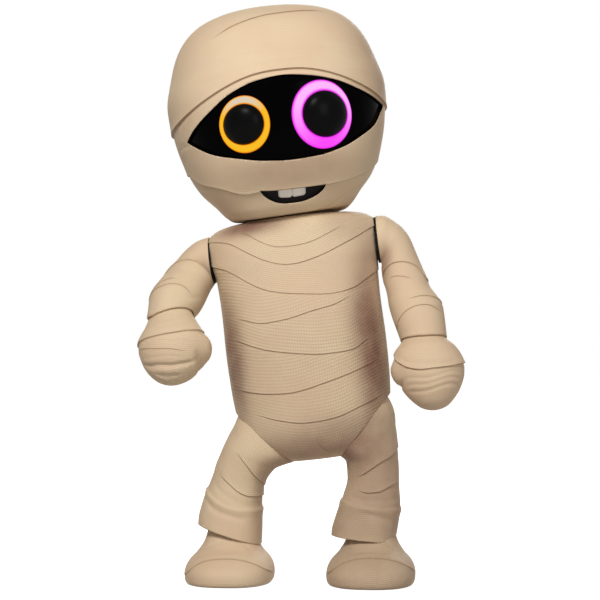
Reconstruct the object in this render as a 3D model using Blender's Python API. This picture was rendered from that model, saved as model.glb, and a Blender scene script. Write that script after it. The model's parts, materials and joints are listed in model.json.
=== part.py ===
"""Animatronic mummy: a standing figure that sways on its hips, swings its arms and turns its head.

Units are metres and +Z is up. The figure faces -Y, its own right hand is on -X. Each sub-assembly is built
round an empty that stands on its joint, so a moving piece turns about its own origin.
"""

import math

import bmesh
import bpy
import numpy as np
from mathutils import Vector

MM = 0.001
FIT = 0.3 * MM                # running gap between pieces that touch
SIDES = (("right", -1), ("left", 1))

# Stance: the pose in which the figure stands, hips thrown to its own left.
NECK_X = -19.6 * MM
TORSO_LEAN = 7.0                       # degrees, top towards the own right
HEAD_TURN = 10.0                       # degrees, face towards the own left
RIGHT_SPLAY = 30.3                     # degrees, right leg outwards from the torso's down line

# Torso shell: rows of height, half width and half depth, in millimetres below the neck seat.
TORSO_ROWS = (
    (3, 36, 34), (1, 62, 50), (-5, 96, 66), (-15, 126, 76), (-30, 136, 82), (-60, 134, 86), (-84, 127, 88),
    (-140, 125, 92), (-200, 126, 95), (-250, 126, 95), (-296, 123, 92), (-330, 119, 87), (-355, 106, 80),
    (-370, 92, 70), (-380, 72, 55), (-385, 46, 34), (-385.5, 0, 0),
)
TORSO_POWER = 2.5
TORSO_WALL = 3 * MM
SHOULDER_FLAT = 129 * MM               # the shell is flat beyond this, where the arm turns
HIP_CUT_TOP = (120 * MM, -295 * MM)    # leg hole edge at the flank
HIP_CUT_LOW = (49 * MM, -368 * MM)     # and beside the crotch

# Head shell, rows as above but upwards from the neck seat.
HEAD_ROWS = (
    (333, 0, 0), (331, 36, 33), (325, 70, 64), (312, 106, 98), (295, 129, 119), (270, 147, 136),
    (232, 161, 149), (190, 170.5, 157), (140, 165, 153), (94, 153, 143), (56, 135, 126), (30, 112, 104),
    (12, 92, 84), (4, 76, 68), (3.6, 30, 30),
)
HEAD_POWER = 2.4
HEAD_WALL = 3.5 * MM
VISOR_WALL = 2.5 * MM
VISOR_SEAT = 1.2 * MM                  # the shell's facets stand this far inside its curve at most
VISOR_MARGIN = 7 * MM
VISOR_REACH = 158 * MM                 # the visor ends this far from the middle
# Eye opening: lateral place, lower edge and upper edge, in millimetres.
EYE_OPENING = (
    (-149, 129, 131), (-140, 120, 143), (-112, 101.5, 167), (-80, 91.5, 188), (-40, 83, 202), (0, 80, 206.5),
    (40, 82, 202), (80, 91, 192), (115, 107.5, 177), (140, 125, 165), (152, 143, 158), (158, 153, 155),
)
MOUTH_OUTLINE = (
    (-51, 41.5), (-46, 34), (-36, 26), (-26, 21), (-14, 18.5), (0, 18), (14, 19), (26, 22), (38, 27), (46, 33),
    (51, 40), (19, 39), (-24, 39),
)
TEETH = (-23 * MM, 19 * MM, 27 * MM, 38.4 * MM)   # left edge, right edge, lower edge, upper edge
TEETH_PROUD = 2.6 * MM

EYES = {
    "amber": {"at": (-61, 140), "ring": (37.5, 42.5), "pupil": (29, 29.5), "dome": 14},
    "violet": {"at": (56, 142), "ring": (46.5, 51), "pupil": (33, 33.5), "dome": 16},
}
EYE_RING_PROUD = 2.4 * MM
MOUTH_PLATE = (62 * MM, 10 * MM, 50 * MM)      # half width, lower and upper edge
MOUTH_PLATE_WALL = 2.5 * MM
LAMP_BOARD_X = (-96 * MM, 92 * MM)
BOARD_Z = (92 * MM, 186 * MM)
BRACKET_Z = 22 * MM
BRACKET_HALF = 60 * MM
BRACKET_BACK = 68 * MM
BRACKET_THICK = 4 * MM
POST_Y = (54 * MM, 64 * MM)
UPRIGHT_Y = -68 * MM
UPRIGHT_HALF = 30 * MM
TAB_HALF = 7 * MM

# Arms: each ring's inner edge (out, up) and outer edge (out, up) from the shoulder, then how far forward its
# middle lies and its half depth, in millimetres.
SHOULDER_Z = -50 * MM
SHOULDER_DISC_RADIUS = 36 * MM
SHOULDER_DISC_THICK = 5 * MM
ARM_ROWS = {
    "right": (
        (0, -37, 0, 37, 0, 37), (1, -38, 16, 33, 0, 37.5), (1, -40, 30, 25, 1, 38), (2, -42, 43, 15, 4, 38.5),
        (3, -46, 53, 3, 10, 39), (5, -52, 64, -10, 18, 39.5), (8, -60, 76, -24, 28, 40), (13, -69, 87, -38, 40, 41),
        (19, -77, 93, -53, 52, 39), (23, -82, 95, -68, 62, 36),
    ),
    "left": (
        (0, -37, 0, 37, 0, 37), (1, -38, 14, 34, 0, 37), (1, -42, 27, 26, 0, 37), (0, -48, 40, 11, 2, 37),
        (0, -57, 50, -10, 6, 36), (0, -70, 57, -33, 12, 35), (0, -88, 64, -59, 19, 35), (1, -108, 74, -89, 27, 37),
        (6, -127, 84, -116, 35, 39), (12, -142, 87, -139, 42, 39), (14, -152, 84, -156, 47, 36),
    ),
}
ARM_WALL = 3 * MM
WRIST_CLEARANCE = FIT
# Fist: rings from its neck inside the wrist to the knuckles: distance, half width and half depth.
FIST_ROWS = (
    (-8, 0.93, 0.93), (0, 0.99, 0.98), (5, 1.12, 1.11), (12, 1.4, 1.3), (26, 1.6, 1.42), (42, 1.68, 1.47),
    (58, 1.66, 1.45), (74, 1.5, 1.34), (88, 1.15, 1.05), (97, 0.7, 0.66), (101, 0.25, 0.25),
)
FIST_SHIFT = {"right": (-4, 3, -13), "left": (8, 4, -7)}
THUMB = {"reach": 42, "swell": 0.17}

# Hips: the pins stand either side of the torso's middle.
HIP_HALF_SPAN = 55 * MM
HIP_Z = -327 * MM
LEG_LENGTH = 198 * MM                  # hip pin to ankle pin
LEG_UNIT = LEG_LENGTH / 198            # the leg's tables are in this unit down the leg
LEG_WALL = 3 * MM
# Leg shell: distance below the hip pin, inner edge, outer edge and half depth, in millimetres.
LEG_ROWS = {
    "right": (
        (0, -50, 70, 62), (20, -46, 71, 62), (36, -39, 72, 61), (48, -26, 72.5, 59), (60, -15, 73, 56),
        (84, -9, 73, 51), (110, -15, 70.5, 48), (138, -27, 70, 50), (165, -38, 67.5, 52), (200, -50, 58, 53),
    ),
    "left": (
        (0, -50, 70, 62), (20, -46, 68.5, 62), (36, -39, 67, 61), (48, -26, 66, 59), (60, -17, 65, 56),
        (84, -19, 62.5, 51), (110, -30, 58.5, 48), (138, -46, 55.5, 50), (165, -58, 48.5, 52), (200, -63, 36, 53),
    ),
}
THIGH_RADIUS = 70 * MM
HEM = {"right": (180, 0.097), "left": (184, 0.26)}     # depth on the leg's line and slope outwards
RIM = (-1.4, 0.587)                    # place where the open top crosses the hip pin, and its slope
RIM_EASE = 50                          # the rings are level again this far down
LEG_RINGS = (0, 14, 30, 44, 58, 72, 90, 110, 130, 150, 166)
LINK_THICK = 6 * MM
LINK_HALF_WIDTH = 8 * MM
WEB = (118, 125)                       # depths between which the link reaches out to the shell
LEG_POWER = 2.3

# Shoes.
ANKLE_Z = 52.6 * MM
# Shoe upper: height above the floor, half width, front and back, in millimetres.
SHOE_ROWS = (
    (1.5, 62.5, -102, 64), (5, 65.5, -107, 67.5), (14, 68.5, -111, 70), (24, 67, -108, 69), (34, 61.5, -96, 66),
    (46, 51, -74, 56), (53, 44.5, -56, 47), (59.5, 32, -42, 42), (70, 29.5, -38, 38), (82, 28, -35, 35),
)
SHOE_POWER = 2.5
SHOE_WALL = 3 * MM
SOLE_THICK = 8 * MM
SOLE_BEVEL = 2 * MM
EAR_HALF_WIDTH = 9 * MM
EAR_Y = (5.3 * MM, 10.3 * MM)
ANKLE_PIN_RADIUS = 4 * MM

# Gear trains: module, teeth and width.
PRESSURE_ANGLE = 25.0
BACKLASH = 0.10
ARM_MODULE = 1.5 * MM
ARM_GEAR_TEETH = 28
ARM_PINION_TEETH = 12
NECK_MODULE = 2 * MM
NECK_GEAR_TEETH = 28
NECK_PINION_TEETH = 12
HIP_GEAR_TEETH = 32
HIP_PINION_TEETH = 12
HIP_MODULE = 2 * HIP_HALF_SPAN / (HIP_GEAR_TEETH + HIP_PINION_TEETH)

# Where the works sit in the torso, from the neck seat.
SPINE_Y = (58 * MM, 61 * MM)
SPINE_HALF_WIDTH = 56 * MM
SPINE_Z = (-300 * MM, -16 * MM)
TOP_PLATE_Z = (-20 * MM, -16 * MM)
TOP_PLATE = (48 * MM, -26 * MM)        # half width and front edge
CHEEK_X = (97 * MM, 101 * MM)
CHEEK_Z = (-68 * MM, -32 * MM)
CHEEK_FRONT = -14 * MM
PINION_PLATE_X = (23 * MM, 26 * MM)
PINION_PLATE_Z = (-96 * MM, -74 * MM)
PINION_PLATE_FRONT = -18 * MM
HIP_RIB_X = (30 * MM, 34 * MM)
HIP_RIB_Z = (-299 * MM, -262 * MM)
HIP_PLATE_Y = (12 * MM, 16 * MM)
HIP_PLATE_Z = (-343 * MM, -285 * MM)
HIP_PLATE_HALF = 68 * MM
OVERLAP = 2 * MM                       # how far blocks of one moulding run into each other
SHAFT_RADIUS = 6 * MM
JOURNAL_RADIUS = 3 * MM
PIN_RADIUS = 5 * MM
PIN_HEAD = (8 * MM, 3.2 * MM)          # radius and thickness
HIP_HUB = (11 * MM, 7 * MM)            # radius and reach forwards
ANKLE_HUB = (10 * MM, 5 * MM)
SECTOR_SPAN = (44, 103)                # degrees inwards from straight down
BUSH_WALL = 3 * MM
FLANGE = (16 * MM, 3 * MM)             # shoulder shaft: radius and thickness
NECK_FLANGE_RADIUS = 22 * MM
NECK_NUT_RADIUS = 13 * MM
ARM_MOTOR = (12 * MM, 62 * MM)         # radius and how far out it reaches
HEAD_MOTOR = (13 * MM, 58 * MM)        # radius and how far down it reaches
HIP_MOTOR = (14 * MM, 34 * MM)         # radius and how far back it reaches
BOARD_THICK = 1.6 * MM
NECK_SHAFT_RADIUS = 9 * MM
BEARING_RADIUS = 15 * MM
DOOR_HALF_WIDTH = 56 * MM
DOOR_Z = (-200 * MM, -132 * MM)
DOOR_GAP = 0.5 * MM
BOX_WALL = 2 * MM
SPEAKER_Z = -245 * MM
SPEAKER_RADIUS = 27 * MM
SPEAKER_MAGNET = (14 * MM, 12 * MM)    # radius and depth
GRILLE_RADIUS = 12 * MM
GRILLE_HOLE = 2.5 * MM
CONTROL_BOARD = (42 * MM, -215 * MM, -145 * MM)   # half width, lower and upper edge
SWITCH_Z = -104 * MM
SWITCH_TRAVEL = 8 * MM
KNOB = (8 * MM, 10 * MM)
SCREW_RADIUS = 2 * MM
SCREW_HEAD_RADIUS = 4 * MM
TORSO_SCREWS = ((-44 * MM, -74 * MM), (44 * MM, -74 * MM), (-44 * MM, -284 * MM), (44 * MM, -284 * MM))
HEAD_SCREWS = ((-60 * MM, 60 * MM), (60 * MM, 60 * MM))

# How finely round shapes are divided.
HALF_SHELL_STEPS = 17
LIMB_STEPS = 18
ROUND_STEPS = 16
EYE_STEPS = 24

MATERIALS = {
    "skin": ((0.66, 0.52, 0.37), 0.75, 0.0),
    "gloss_black": ((0.01, 0.01, 0.012), 0.12, 0.0),
    "matt_black": ((0.02, 0.02, 0.02), 0.6, 0.0),
    "amber_lamp": ((1.0, 0.5, 0.06), 0.3, 0.0),
    "violet_lamp": ((0.95, 0.25, 0.95), 0.3, 0.0),
    "tooth": ((0.85, 0.84, 0.78), 0.35, 0.0),
    "steel": ((0.55, 0.56, 0.58), 0.3, 1.0),
    "grey_plastic": ((0.2, 0.21, 0.22), 0.5, 0.0),
    "white_acetal": ((0.85, 0.85, 0.83), 0.45, 0.0),
    "motor_can": ((0.6, 0.6, 0.62), 0.35, 1.0),
    "board": ((0.03, 0.2, 0.09), 0.45, 0.0),
    "bronze": ((0.55, 0.36, 0.16), 0.4, 1.0),
    "rubber": ((0.03, 0.03, 0.03), 0.85, 0.0),
    "sole_vinyl": ((0.5, 0.38, 0.27), 0.8, 0.0),
}


def clear_scene():
    """Removes what the scene held before."""
    for old in list(bpy.data.objects):
        bpy.data.objects.remove(old, do_unlink=True)


def material(name):
    """The Principled material of this name, made once."""
    found = bpy.data.materials.get(name)
    if found:
        return found
    colour, roughness, metallic = MATERIALS[name]
    made = bpy.data.materials.new(name)
    made.use_nodes = True
    shader = made.node_tree.nodes["Principled BSDF"]
    shader.inputs["Base Color"].default_value = (*colour, 1.0)
    shader.inputs["Roughness"].default_value = roughness
    shader.inputs["Metallic"].default_value = metallic
    if name.endswith("_lamp"):
        shader.inputs["Emission Color"].default_value = (*colour, 1.0)
        shader.inputs["Emission Strength"].default_value = 1.0
    return made


def empty(name, parent=None, at=(0, 0, 0), turn=(0, 0, 0)):
    """A joint centre: `turn` is in degrees about X, Y and Z of the parent."""
    made = bpy.data.objects.new(name, None)
    bpy.context.scene.collection.objects.link(made)
    made.parent = parent
    made.location = at
    made.rotation_euler = [math.radians(angle) for angle in turn]
    return made


def place(name, points, faces, finish, parent, smooth=True):
    """A named mesh object in its parent's frame, its faces turned outwards."""
    mesh = bpy.data.meshes.new(name)
    work = bmesh.new()
    corners = [work.verts.new(point) for point in points]
    for face in faces:
        work.faces.new([corners[index] for index in face])
    bmesh.ops.remove_doubles(work, verts=work.verts, dist=1e-5)
    bmesh.ops.dissolve_degenerate(work, edges=work.edges, dist=1e-6)
    if work.calc_volume(signed=True) < 0:
        bmesh.ops.reverse_faces(work, faces=work.faces)
    work.to_mesh(mesh)
    work.free()
    if smooth:
        mesh.shade_smooth()
        mesh.set_sharp_from_angle(angle=math.radians(35))
    mesh.materials.append(material(finish))
    made = bpy.data.objects.new(name, mesh)
    bpy.context.scene.collection.objects.link(made)
    made.parent = parent
    return made


def sheet_faces(outer, inner, closed):
    """Points and faces of the wall between two equal grids; `closed` joins each row's ends."""
    rows, columns = outer.shape[:2]
    points = np.concatenate([outer.reshape(-1, 3), inner.reshape(-1, 3)])
    back = rows * columns
    faces = []

    def quad(row, column, shift):
        beside = (column + 1) % columns
        return [shift + row * columns + column, shift + row * columns + beside,
                shift + (row + 1) * columns + beside, shift + (row + 1) * columns + column]

    for row in range(rows - 1):
        for column in range(columns if closed else columns - 1):
            faces.append(quad(row, column, 0))
            faces.append(quad(row, column, back)[::-1])
    for row, flip in ((0, True), (rows - 1, False)):
        for column in range(columns if closed else columns - 1):
            a = row * columns + column
            b = row * columns + (column + 1) % columns
            edge = [a, b, back + b, back + a]
            faces.append(edge[::-1] if flip else edge)
    if not closed:
        for column, flip in ((0, False), (columns - 1, True)):
            for row in range(rows - 1):
                a = row * columns + column
                b = a + columns
                edge = [a, b, back + b, back + a]
                faces.append(edge[::-1] if flip else edge)
    return [tuple(point) for point in points], faces


def wall(name, outer, inner, finish, parent, closed=False):
    """A shell with these outer and inner grids."""
    points, faces = sheet_faces(outer, inner, closed)
    return place(name, points, faces, finish, parent)


def stack(name, rings, finish, parent):
    """A solid through a stack of equal rings, with flat ends."""
    count = len(rings[0])
    points = [tuple(point) for ring in rings for point in ring]
    faces = []
    for row in range(len(rings) - 1):
        for column in range(count):
            beside = (column + 1) % count
            faces.append([row * count + column, row * count + beside,
                          (row + 1) * count + beside, (row + 1) * count + column])
    faces.append(list(range(count))[::-1])
    faces.append([(len(rings) - 1) * count + column for column in range(count)])
    return place(name, points, faces, finish, parent)


AXES = {"x": ((0, 1, 0), (0, 0, 1), (1, 0, 0)), "y": ((0, 0, 1), (1, 0, 0), (0, 1, 0)),
        "z": ((1, 0, 0), (0, 1, 0), (0, 0, 1))}


def along(axis, flat, height):
    """Flat points (u, v) at this height along an axis, as space points."""
    first, second, up = (np.array(direction, float) for direction in AXES[axis])
    return [first * u + second * v + up * height for u, v in flat]


def circle(radius, count=ROUND_STEPS, centre=(0, 0)):
    """Flat points round a circle."""
    turn = np.arange(count) * 2 * math.pi / count
    return [(centre[0] + radius * math.cos(a), centre[1] + radius * math.sin(a)) for a in turn]


def turned(name, axis, steps, finish, parent, centre=(0, 0), count=ROUND_STEPS):
    """A stepped round bar: `steps` holds (start, end, radius) in order along the axis."""
    rings = []
    for start, end, radius in steps:
        rings.append(along(axis, circle(radius, count, centre), start))
        rings.append(along(axis, circle(radius, count, centre), end))
    return stack(name, rings, finish, parent)


def prism(name, axis, flat, start, end, finish, parent):
    """A flat outline extruded along an axis."""
    return stack(name, [along(axis, flat, start), along(axis, flat, end)], finish, parent)


def block(name, low, high, finish, parent):
    """A box between two corners."""
    flat = [(low[0], low[1]), (high[0], low[1]), (high[0], high[1]), (low[0], high[1])]
    made = prism(name, "z", flat, low[2], high[2], finish, parent)
    made.data.shade_flat()
    return made


def hide(cutter):
    """Marks an object as a guide that isn't part of the figure."""
    cutter.hide_render = True
    cutter.display_type = "WIRE"
    return cutter


def boolean(target, other, operation):
    """Joins or cuts `other`, which then stays only as a guide."""
    modifier = target.modifiers.new(other.name, "BOOLEAN")
    modifier.operation = operation
    modifier.solver = "EXACT"
    modifier.object = hide(other)
    return target


def cut(target, *cutters):
    """Takes each cutter out of the target."""
    for cutter in cutters:
        boolean(target, cutter, "DIFFERENCE")
    return target


def join(target, *others):
    """Adds each other solid to the target."""
    for other in others:
        boolean(target, other, "UNION")
    return target


def offset_rows(rows, inset):
    """Profile rows moved inwards along their own normal, as an array in metres."""
    rows = np.array(rows, float) * MM
    slope = np.gradient(rows[:, 1], axis=0)
    rise = np.gradient(rows[:, 0], axis=0)
    length = np.hypot(slope, rise)
    sign = 1 if rows[0, 0] > rows[-1, 0] else -1
    out = -sign * rise / length
    up = sign * slope / length
    moved = rows.copy()
    moved[:, 0] -= inset * up
    moved[:, 1] = np.where(rows[:, 1] > 0, np.maximum(rows[:, 1] - inset * out, 0), 0)
    moved[:, 2] = np.where(rows[:, 2] > 0, np.maximum(rows[:, 2] - inset * out, 0), 0)
    return moved


def power_curve(angle, power):
    """Unit superellipse point at each angle."""
    c, s = np.cos(angle), np.sin(angle)
    return np.sign(c) * np.abs(c) ** (2 / power), np.sign(s) * np.abs(s) ** (2 / power)


def profile_grid(rows, angles, power, split=0.0, flat=None):
    """Grid of a profile at these angles. `split` holds the ends clear of the parting plane."""
    u, v = power_curve(angles, power)
    x = rows[:, 1:2] * u
    y = rows[:, 2:3] * v
    y = np.where(np.abs(y) < split, split * np.sign(np.sin(angles.mean())), y)
    if flat:
        x = np.clip(x, -flat, flat)
    z = np.repeat(rows[:, 0:1], len(angles), axis=1)
    return np.stack([x, y, z], axis=2)


FRONT = np.radians(np.linspace(180, 360, HALF_SHELL_STEPS))
BACK = np.radians(np.linspace(0, 180, HALF_SHELL_STEPS))


def depth_at(rows, power, inset, x, z):
    """How far the surface stands out in Y at a lateral place and a height."""
    moved = offset_rows(rows, inset)
    order = np.argsort(moved[:, 0])
    half_width = np.interp(z, moved[order, 0], moved[order, 1])
    half_depth = np.interp(z, moved[order, 0], moved[order, 2])
    inside = np.clip(1 - np.abs(np.asarray(x) / half_width) ** power, 0, 1)
    return half_depth * inside ** (1 / power)


def gear_outline(module, teeth, phase=0.0, first=0, count=None):
    """Flat outline of a spur gear with straight flanks; `phase` turns tooth 0, in tooth pitches."""
    pitch_radius = module * teeth / 2
    tip = pitch_radius + 0.9 * module
    root = pitch_radius - 1.15 * module
    pitch = 2 * math.pi / teeth
    half = pitch / 4 * (1 - BACKLASH)
    lean = math.tan(math.radians(PRESSURE_ANGLE)) / pitch_radius
    points = []
    for index in range(first, first + (count or teeth)):
        middle = (index + phase) * pitch
        for radius, side in ((root, -1), (tip, -1), (tip, 1), (root, 1)):
            angle = middle + side * (half - (radius - pitch_radius) * lean)
            points.append((radius * math.cos(angle), radius * math.sin(angle)))
    return points


def extruded(name, sketch, parent, deep):
    """A cutter through Y from a flat outline of lateral and height places."""
    rings = [[(x, y, z) for x, z in sketch] for y in deep]
    return stack(name, rings, "matt_black", parent)


def bar(name, radius, start, end, parent, count=ROUND_STEPS):
    """A round guide between two points of the parent."""
    start, end = Vector(start), Vector(end)
    way = (end - start).normalized()
    side = way.orthogonal().normalized()
    up = way.cross(side)
    rings = []
    for middle in (start, end):
        turn = [2 * math.pi * index / count for index in range(count)]
        rings.append([middle + side * radius * math.cos(a) + up * radius * math.sin(a) for a in turn])
    return stack(name, rings, "matt_black", parent)


def torso_depth(x, z, inset=0.0):
    """How far the torso's surface stands out from its middle plane."""
    return float(depth_at(TORSO_ROWS, TORSO_POWER, inset, x, z))


def head_depth(x, z, inset=0.0):
    """How far the head's surface stands out from its middle plane."""
    return float(depth_at(HEAD_ROWS, HEAD_POWER, inset, x, z))


def screw(name, parent, x, z, surface, tip, finish="steel"):
    """A pan-head screw driven from the back, its head let into the surface."""
    head = surface - 1.2 * MM
    steps = ((tip, head, SCREW_RADIUS), (head, head + 1.9 * MM, SCREW_HEAD_RADIUS))
    flat = []
    for start, end, radius in steps:
        flat.append([(x + u, start, z + v) for u, v in circle(radius, 12)])
        flat.append([(x + u, end, z + v) for u, v in circle(radius, 12)])
    return stack(name, flat, finish, parent)


def screw_cutter(name, parent, x, z, surface, tip):
    """The clearance hole and the seat of a screw."""
    seat = surface - 1.2 * MM - FIT
    steps = ((tip, seat, SCREW_RADIUS + FIT), (seat, surface + 6 * MM, SCREW_HEAD_RADIUS + FIT))
    flat = []
    for start, end, radius in steps:
        flat.append([(x + u, start, z + v) for u, v in circle(radius, 12)])
        flat.append([(x + u, end, z + v) for u, v in circle(radius, 12)])
    return stack(name, flat, "matt_black", parent)


def leg_hole_cutters(torso):
    """Two slanted blocks that take the leg holes out of the torso's lower corners."""
    (top_x, top_z), (low_x, low_z) = HIP_CUT_TOP, HIP_CUT_LOW
    slope = (top_z - low_z) / (top_x - low_x)
    cutters = []
    for side, sign in SIDES:
        far = 0.2
        sketch = [
            (sign * (top_x + far), top_z + far * slope), (sign * (low_x - 0.03), low_z - 0.03 * slope),
            (sign * (low_x - 0.03), low_z - far), (sign * (top_x + far), low_z - far),
        ]
        cutters.append(extruded(side + "_leg_hole", sketch, torso, (-0.15, 0.15)))
    return cutters


def build_torso_shells(torso):
    """Front and back shells with their openings."""
    outer = offset_rows(TORSO_ROWS, 0.0)
    inner = offset_rows(TORSO_ROWS, TORSO_WALL)
    shells = {}
    for name, angles in (("torso_front_shell", FRONT), ("torso_back_shell", BACK)):
        grids = [
            profile_grid(rows, angles, TORSO_POWER, FIT / 2, flat)
            for rows, flat in ((outer, SHOULDER_FLAT), (inner, SHOULDER_FLAT - TORSO_WALL))
        ]
        shells[name] = wall(name, *grids, "skin", torso)
    shoulders = bar("shoulder_hole", SHAFT_RADIUS + 2 * MM, (-0.16, 0, SHOULDER_Z), (0.16, 0, SHOULDER_Z), torso)
    for shell in shells.values():
        cut(shell, *leg_hole_cutters(torso), shoulders)
    back = shells["torso_back_shell"]
    low, high = DOOR_Z
    half = DOOR_HALF_WIDTH
    opening = [(-half, low), (half, low), (half, high), (-half, high)]
    cut(back, extruded("door_opening", opening, torso, (0.05, 0.12)))
    slot_x = KNOB[0] / 2 + FIT
    slot_z = KNOB[1] / 2 + SWITCH_TRAVEL / 2 + FIT
    slot = [(-slot_x, SWITCH_Z - slot_z), (slot_x, SWITCH_Z - slot_z),
            (slot_x, SWITCH_Z + slot_z), (-slot_x, SWITCH_Z + slot_z)]
    cut(back, extruded("switch_slot", slot, torso, (0.05, 0.12)))
    for index, (x, z) in enumerate(grille_places()):
        cut(back, bar(f"grille_{index}", GRILLE_HOLE, (x, 0.05, z), (x, 0.12, z), torso, 8))
    for index, (x, z) in enumerate(TORSO_SCREWS):
        cut(back, screw_cutter(f"torso_screw_seat_{index}", torso, x, z, torso_depth(x, z), 0.04))
    return shells


def grille_places():
    """Speaker hole centres: one in the middle and a ring of eight."""
    ring = [(GRILLE_RADIUS * math.cos(a), SPEAKER_Z + GRILLE_RADIUS * math.sin(a))
            for a in np.radians(range(0, 360, 45))]
    return [(0.0, SPEAKER_Z), *ring]


def build_door(torso):
    """The battery door, a patch of the back shell, with its screw."""
    half = DOOR_HALF_WIDTH - DOOR_GAP
    low, high = DOOR_Z[0] + DOOR_GAP, DOOR_Z[1] - DOOR_GAP
    across = np.linspace(-half, half, 13)
    up = np.linspace(low, high, 4)
    grids = []
    for inset in (0.0, TORSO_WALL):
        depth = np.array([[torso_depth(x, z, inset) for x in across] for z in up])
        grids.append(np.stack([np.tile(across, (4, 1)), depth, np.tile(up[:, None], (1, 13))], axis=2))
    door = empty("battery_door_slide", torso, (0, torso_depth(0, (low + high) / 2), (low + high) / 2))
    origin = np.array(door.location)
    made = wall("battery_door", grids[0] - origin, grids[1] - origin, "skin", door)
    screw_z = high - 8 * MM
    surface = torso_depth(0, screw_z)
    local = (surface - origin[1], screw_z - origin[2])
    cut(made, screw_cutter("door_screw_seat", door, 0, local[1], local[0], local[0] - 0.02))
    screw("battery_door_screw", door, 0, local[1], local[0], local[0] - 7 * MM)
    return door


def build_battery_box(torso):
    """An open-backed box for four cells, with ribs between them."""
    half = DOOR_HALF_WIDTH - 2 * MM
    low, high = DOOR_Z[0] + 2 * MM, DOOR_Z[1] - 2 * MM
    front = SPINE_Y[1] + FIT
    back = torso_depth(half, DOOR_Z[1], TORSO_WALL) - 2 * FIT
    made = block("battery_box", (-half, front, low), (half, back, high), "matt_black", torso)
    inside = BOX_WALL
    cells = ((-half + inside, -inside / 2), (inside / 2, half - inside))
    for index, (start, end) in enumerate(cells):
        cutter = block(f"cell_bay_{index}", (start, front + inside, low + inside),
                       (end, back + 0.02, high - inside), "matt_black", torso)
        cut(made, cutter)
    return made


def build_chassis(torso):
    """Spine, top plate, shaft cheeks, pinion plates and hip plate as one moulding."""
    spine = block("chassis", (-SPINE_HALF_WIDTH, SPINE_Y[0], SPINE_Z[0]), (SPINE_HALF_WIDTH, SPINE_Y[1], SPINE_Z[1]),
                  "grey_plastic", torso)
    inset = OVERLAP / 2
    top_x, top_front = TOP_PLATE
    join(spine, block("top_plate", (-top_x, top_front, TOP_PLATE_Z[0]),
                      (top_x, SPINE_Y[1] - inset, TOP_PLATE_Z[1] - inset / 2), "grey_plastic", torso))
    join(spine, block("shoulder_beam", (-CHEEK_X[1] + inset, SPINE_Y[0] - 4 * MM, CHEEK_Z[0] + OVERLAP),
                      (CHEEK_X[1] - inset, SPINE_Y[1] - inset, CHEEK_Z[1] - OVERLAP), "grey_plastic", torso))
    for side, sign in SIDES:
        near, far = sorted((sign * CHEEK_X[0], sign * CHEEK_X[1]))
        join(spine, block(side + "_cheek", (near, CHEEK_FRONT, CHEEK_Z[0]), (far, SPINE_Y[1] - OVERLAP, CHEEK_Z[1]),
                          "grey_plastic", torso))
        near, far = sorted((sign * PINION_PLATE_X[0], sign * PINION_PLATE_X[1]))
        join(spine, block(side + "_pinion_plate", (near, PINION_PLATE_FRONT, PINION_PLATE_Z[0]),
                          (far, SPINE_Y[0] + inset, PINION_PLATE_Z[1]), "grey_plastic", torso))
        near, far = sorted((sign * HIP_RIB_X[0], sign * HIP_RIB_X[1]))
        join(spine, block(side + "_hip_rib", (near, HIP_PLATE_Y[0] + inset, HIP_RIB_Z[0]),
                          (far, SPINE_Y[0] + inset, HIP_RIB_Z[1]), "grey_plastic", torso))
    join(spine, block("hip_plate", (-HIP_PLATE_HALF, HIP_PLATE_Y[0], HIP_PLATE_Z[0]),
                      (HIP_PLATE_HALF, HIP_PLATE_Y[1], HIP_PLATE_Z[1]), "grey_plastic", torso))
    holes = [bar("neck_bore", BEARING_RADIUS + FIT, (0, 0, -0.04), (0, 0, 0), torso)]
    holes.append(bar("shoulder_bore", SHAFT_RADIUS + BUSH_WALL + FIT, (-0.12, 0, SHOULDER_Z),
                     (0.12, 0, SHOULDER_Z), torso))
    for name, (y, z) in arm_train_places().items():
        holes.append(bar(name + "_bore", JOURNAL_RADIUS + FIT, (-0.04, y, z), (0.04, y, z), torso, 16))
    pinion = neck_pinion_place()
    holes.append(bar("head_pinion_bore", JOURNAL_RADIUS + FIT, (0, pinion, -0.03), (0, pinion, -0.01), torso, 16))
    for side, sign in SIDES:
        x = sign * HIP_HALF_SPAN
        holes.append(bar(side + "_hip_bore", PIN_RADIUS + FIT, (x, 0, HIP_Z), (x, 0.03, HIP_Z), torso))
    holes.append(bar("hip_drive_bore", JOURNAL_RADIUS + FIT, (0, 0, HIP_Z), (0, 0.03, HIP_Z), torso, 16))
    for index, (x, z) in enumerate(TORSO_SCREWS):
        holes.append(bar(f"spine_screw_bore_{index}", SCREW_RADIUS + FIT, (x, 0.05, z), (x, 0.07, z), torso, 12))
    return cut(spine, *holes)


def arm_train_places():
    """Fore-and-aft and height places of the arm pinion and idler."""
    reach = ARM_MODULE * (ARM_GEAR_TEETH + ARM_PINION_TEETH) / 2
    apart = ARM_MODULE * ARM_PINION_TEETH
    half = math.asin(apart / 2 / reach)
    return {
        "arm_drive_pinion": (reach * math.sin(half), SHOULDER_Z - reach * math.cos(half)),
        "arm_idler_gear": (-reach * math.sin(half), SHOULDER_Z - reach * math.cos(half)),
    }


def neck_pinion_place():
    """How far behind the neck its pinion turns."""
    return NECK_MODULE * (NECK_GEAR_TEETH + NECK_PINION_TEETH) / 2


def mesh_phase(teeth_a, phase_a, teeth_b, towards):
    """Phase of gear b, which lies `towards` (radians) gear a, so that its gap takes a's tooth."""
    offset = phase_a - towards * teeth_a / (2 * math.pi)
    return ((towards + math.pi) * teeth_b / (2 * math.pi) - offset + 0.5) % 1.0


def tube(name, axis, bore, outside, start, end, finish, parent, centre=(0, 0), count=ROUND_STEPS):
    """A round bush."""
    outer = np.array([along(axis, circle(outside, count, centre), h) for h in (start, end)])
    inner = np.array([along(axis, circle(bore, count, centre), h) for h in (start, end)])
    return wall(name, outer, inner, finish, parent, closed=True)


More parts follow.
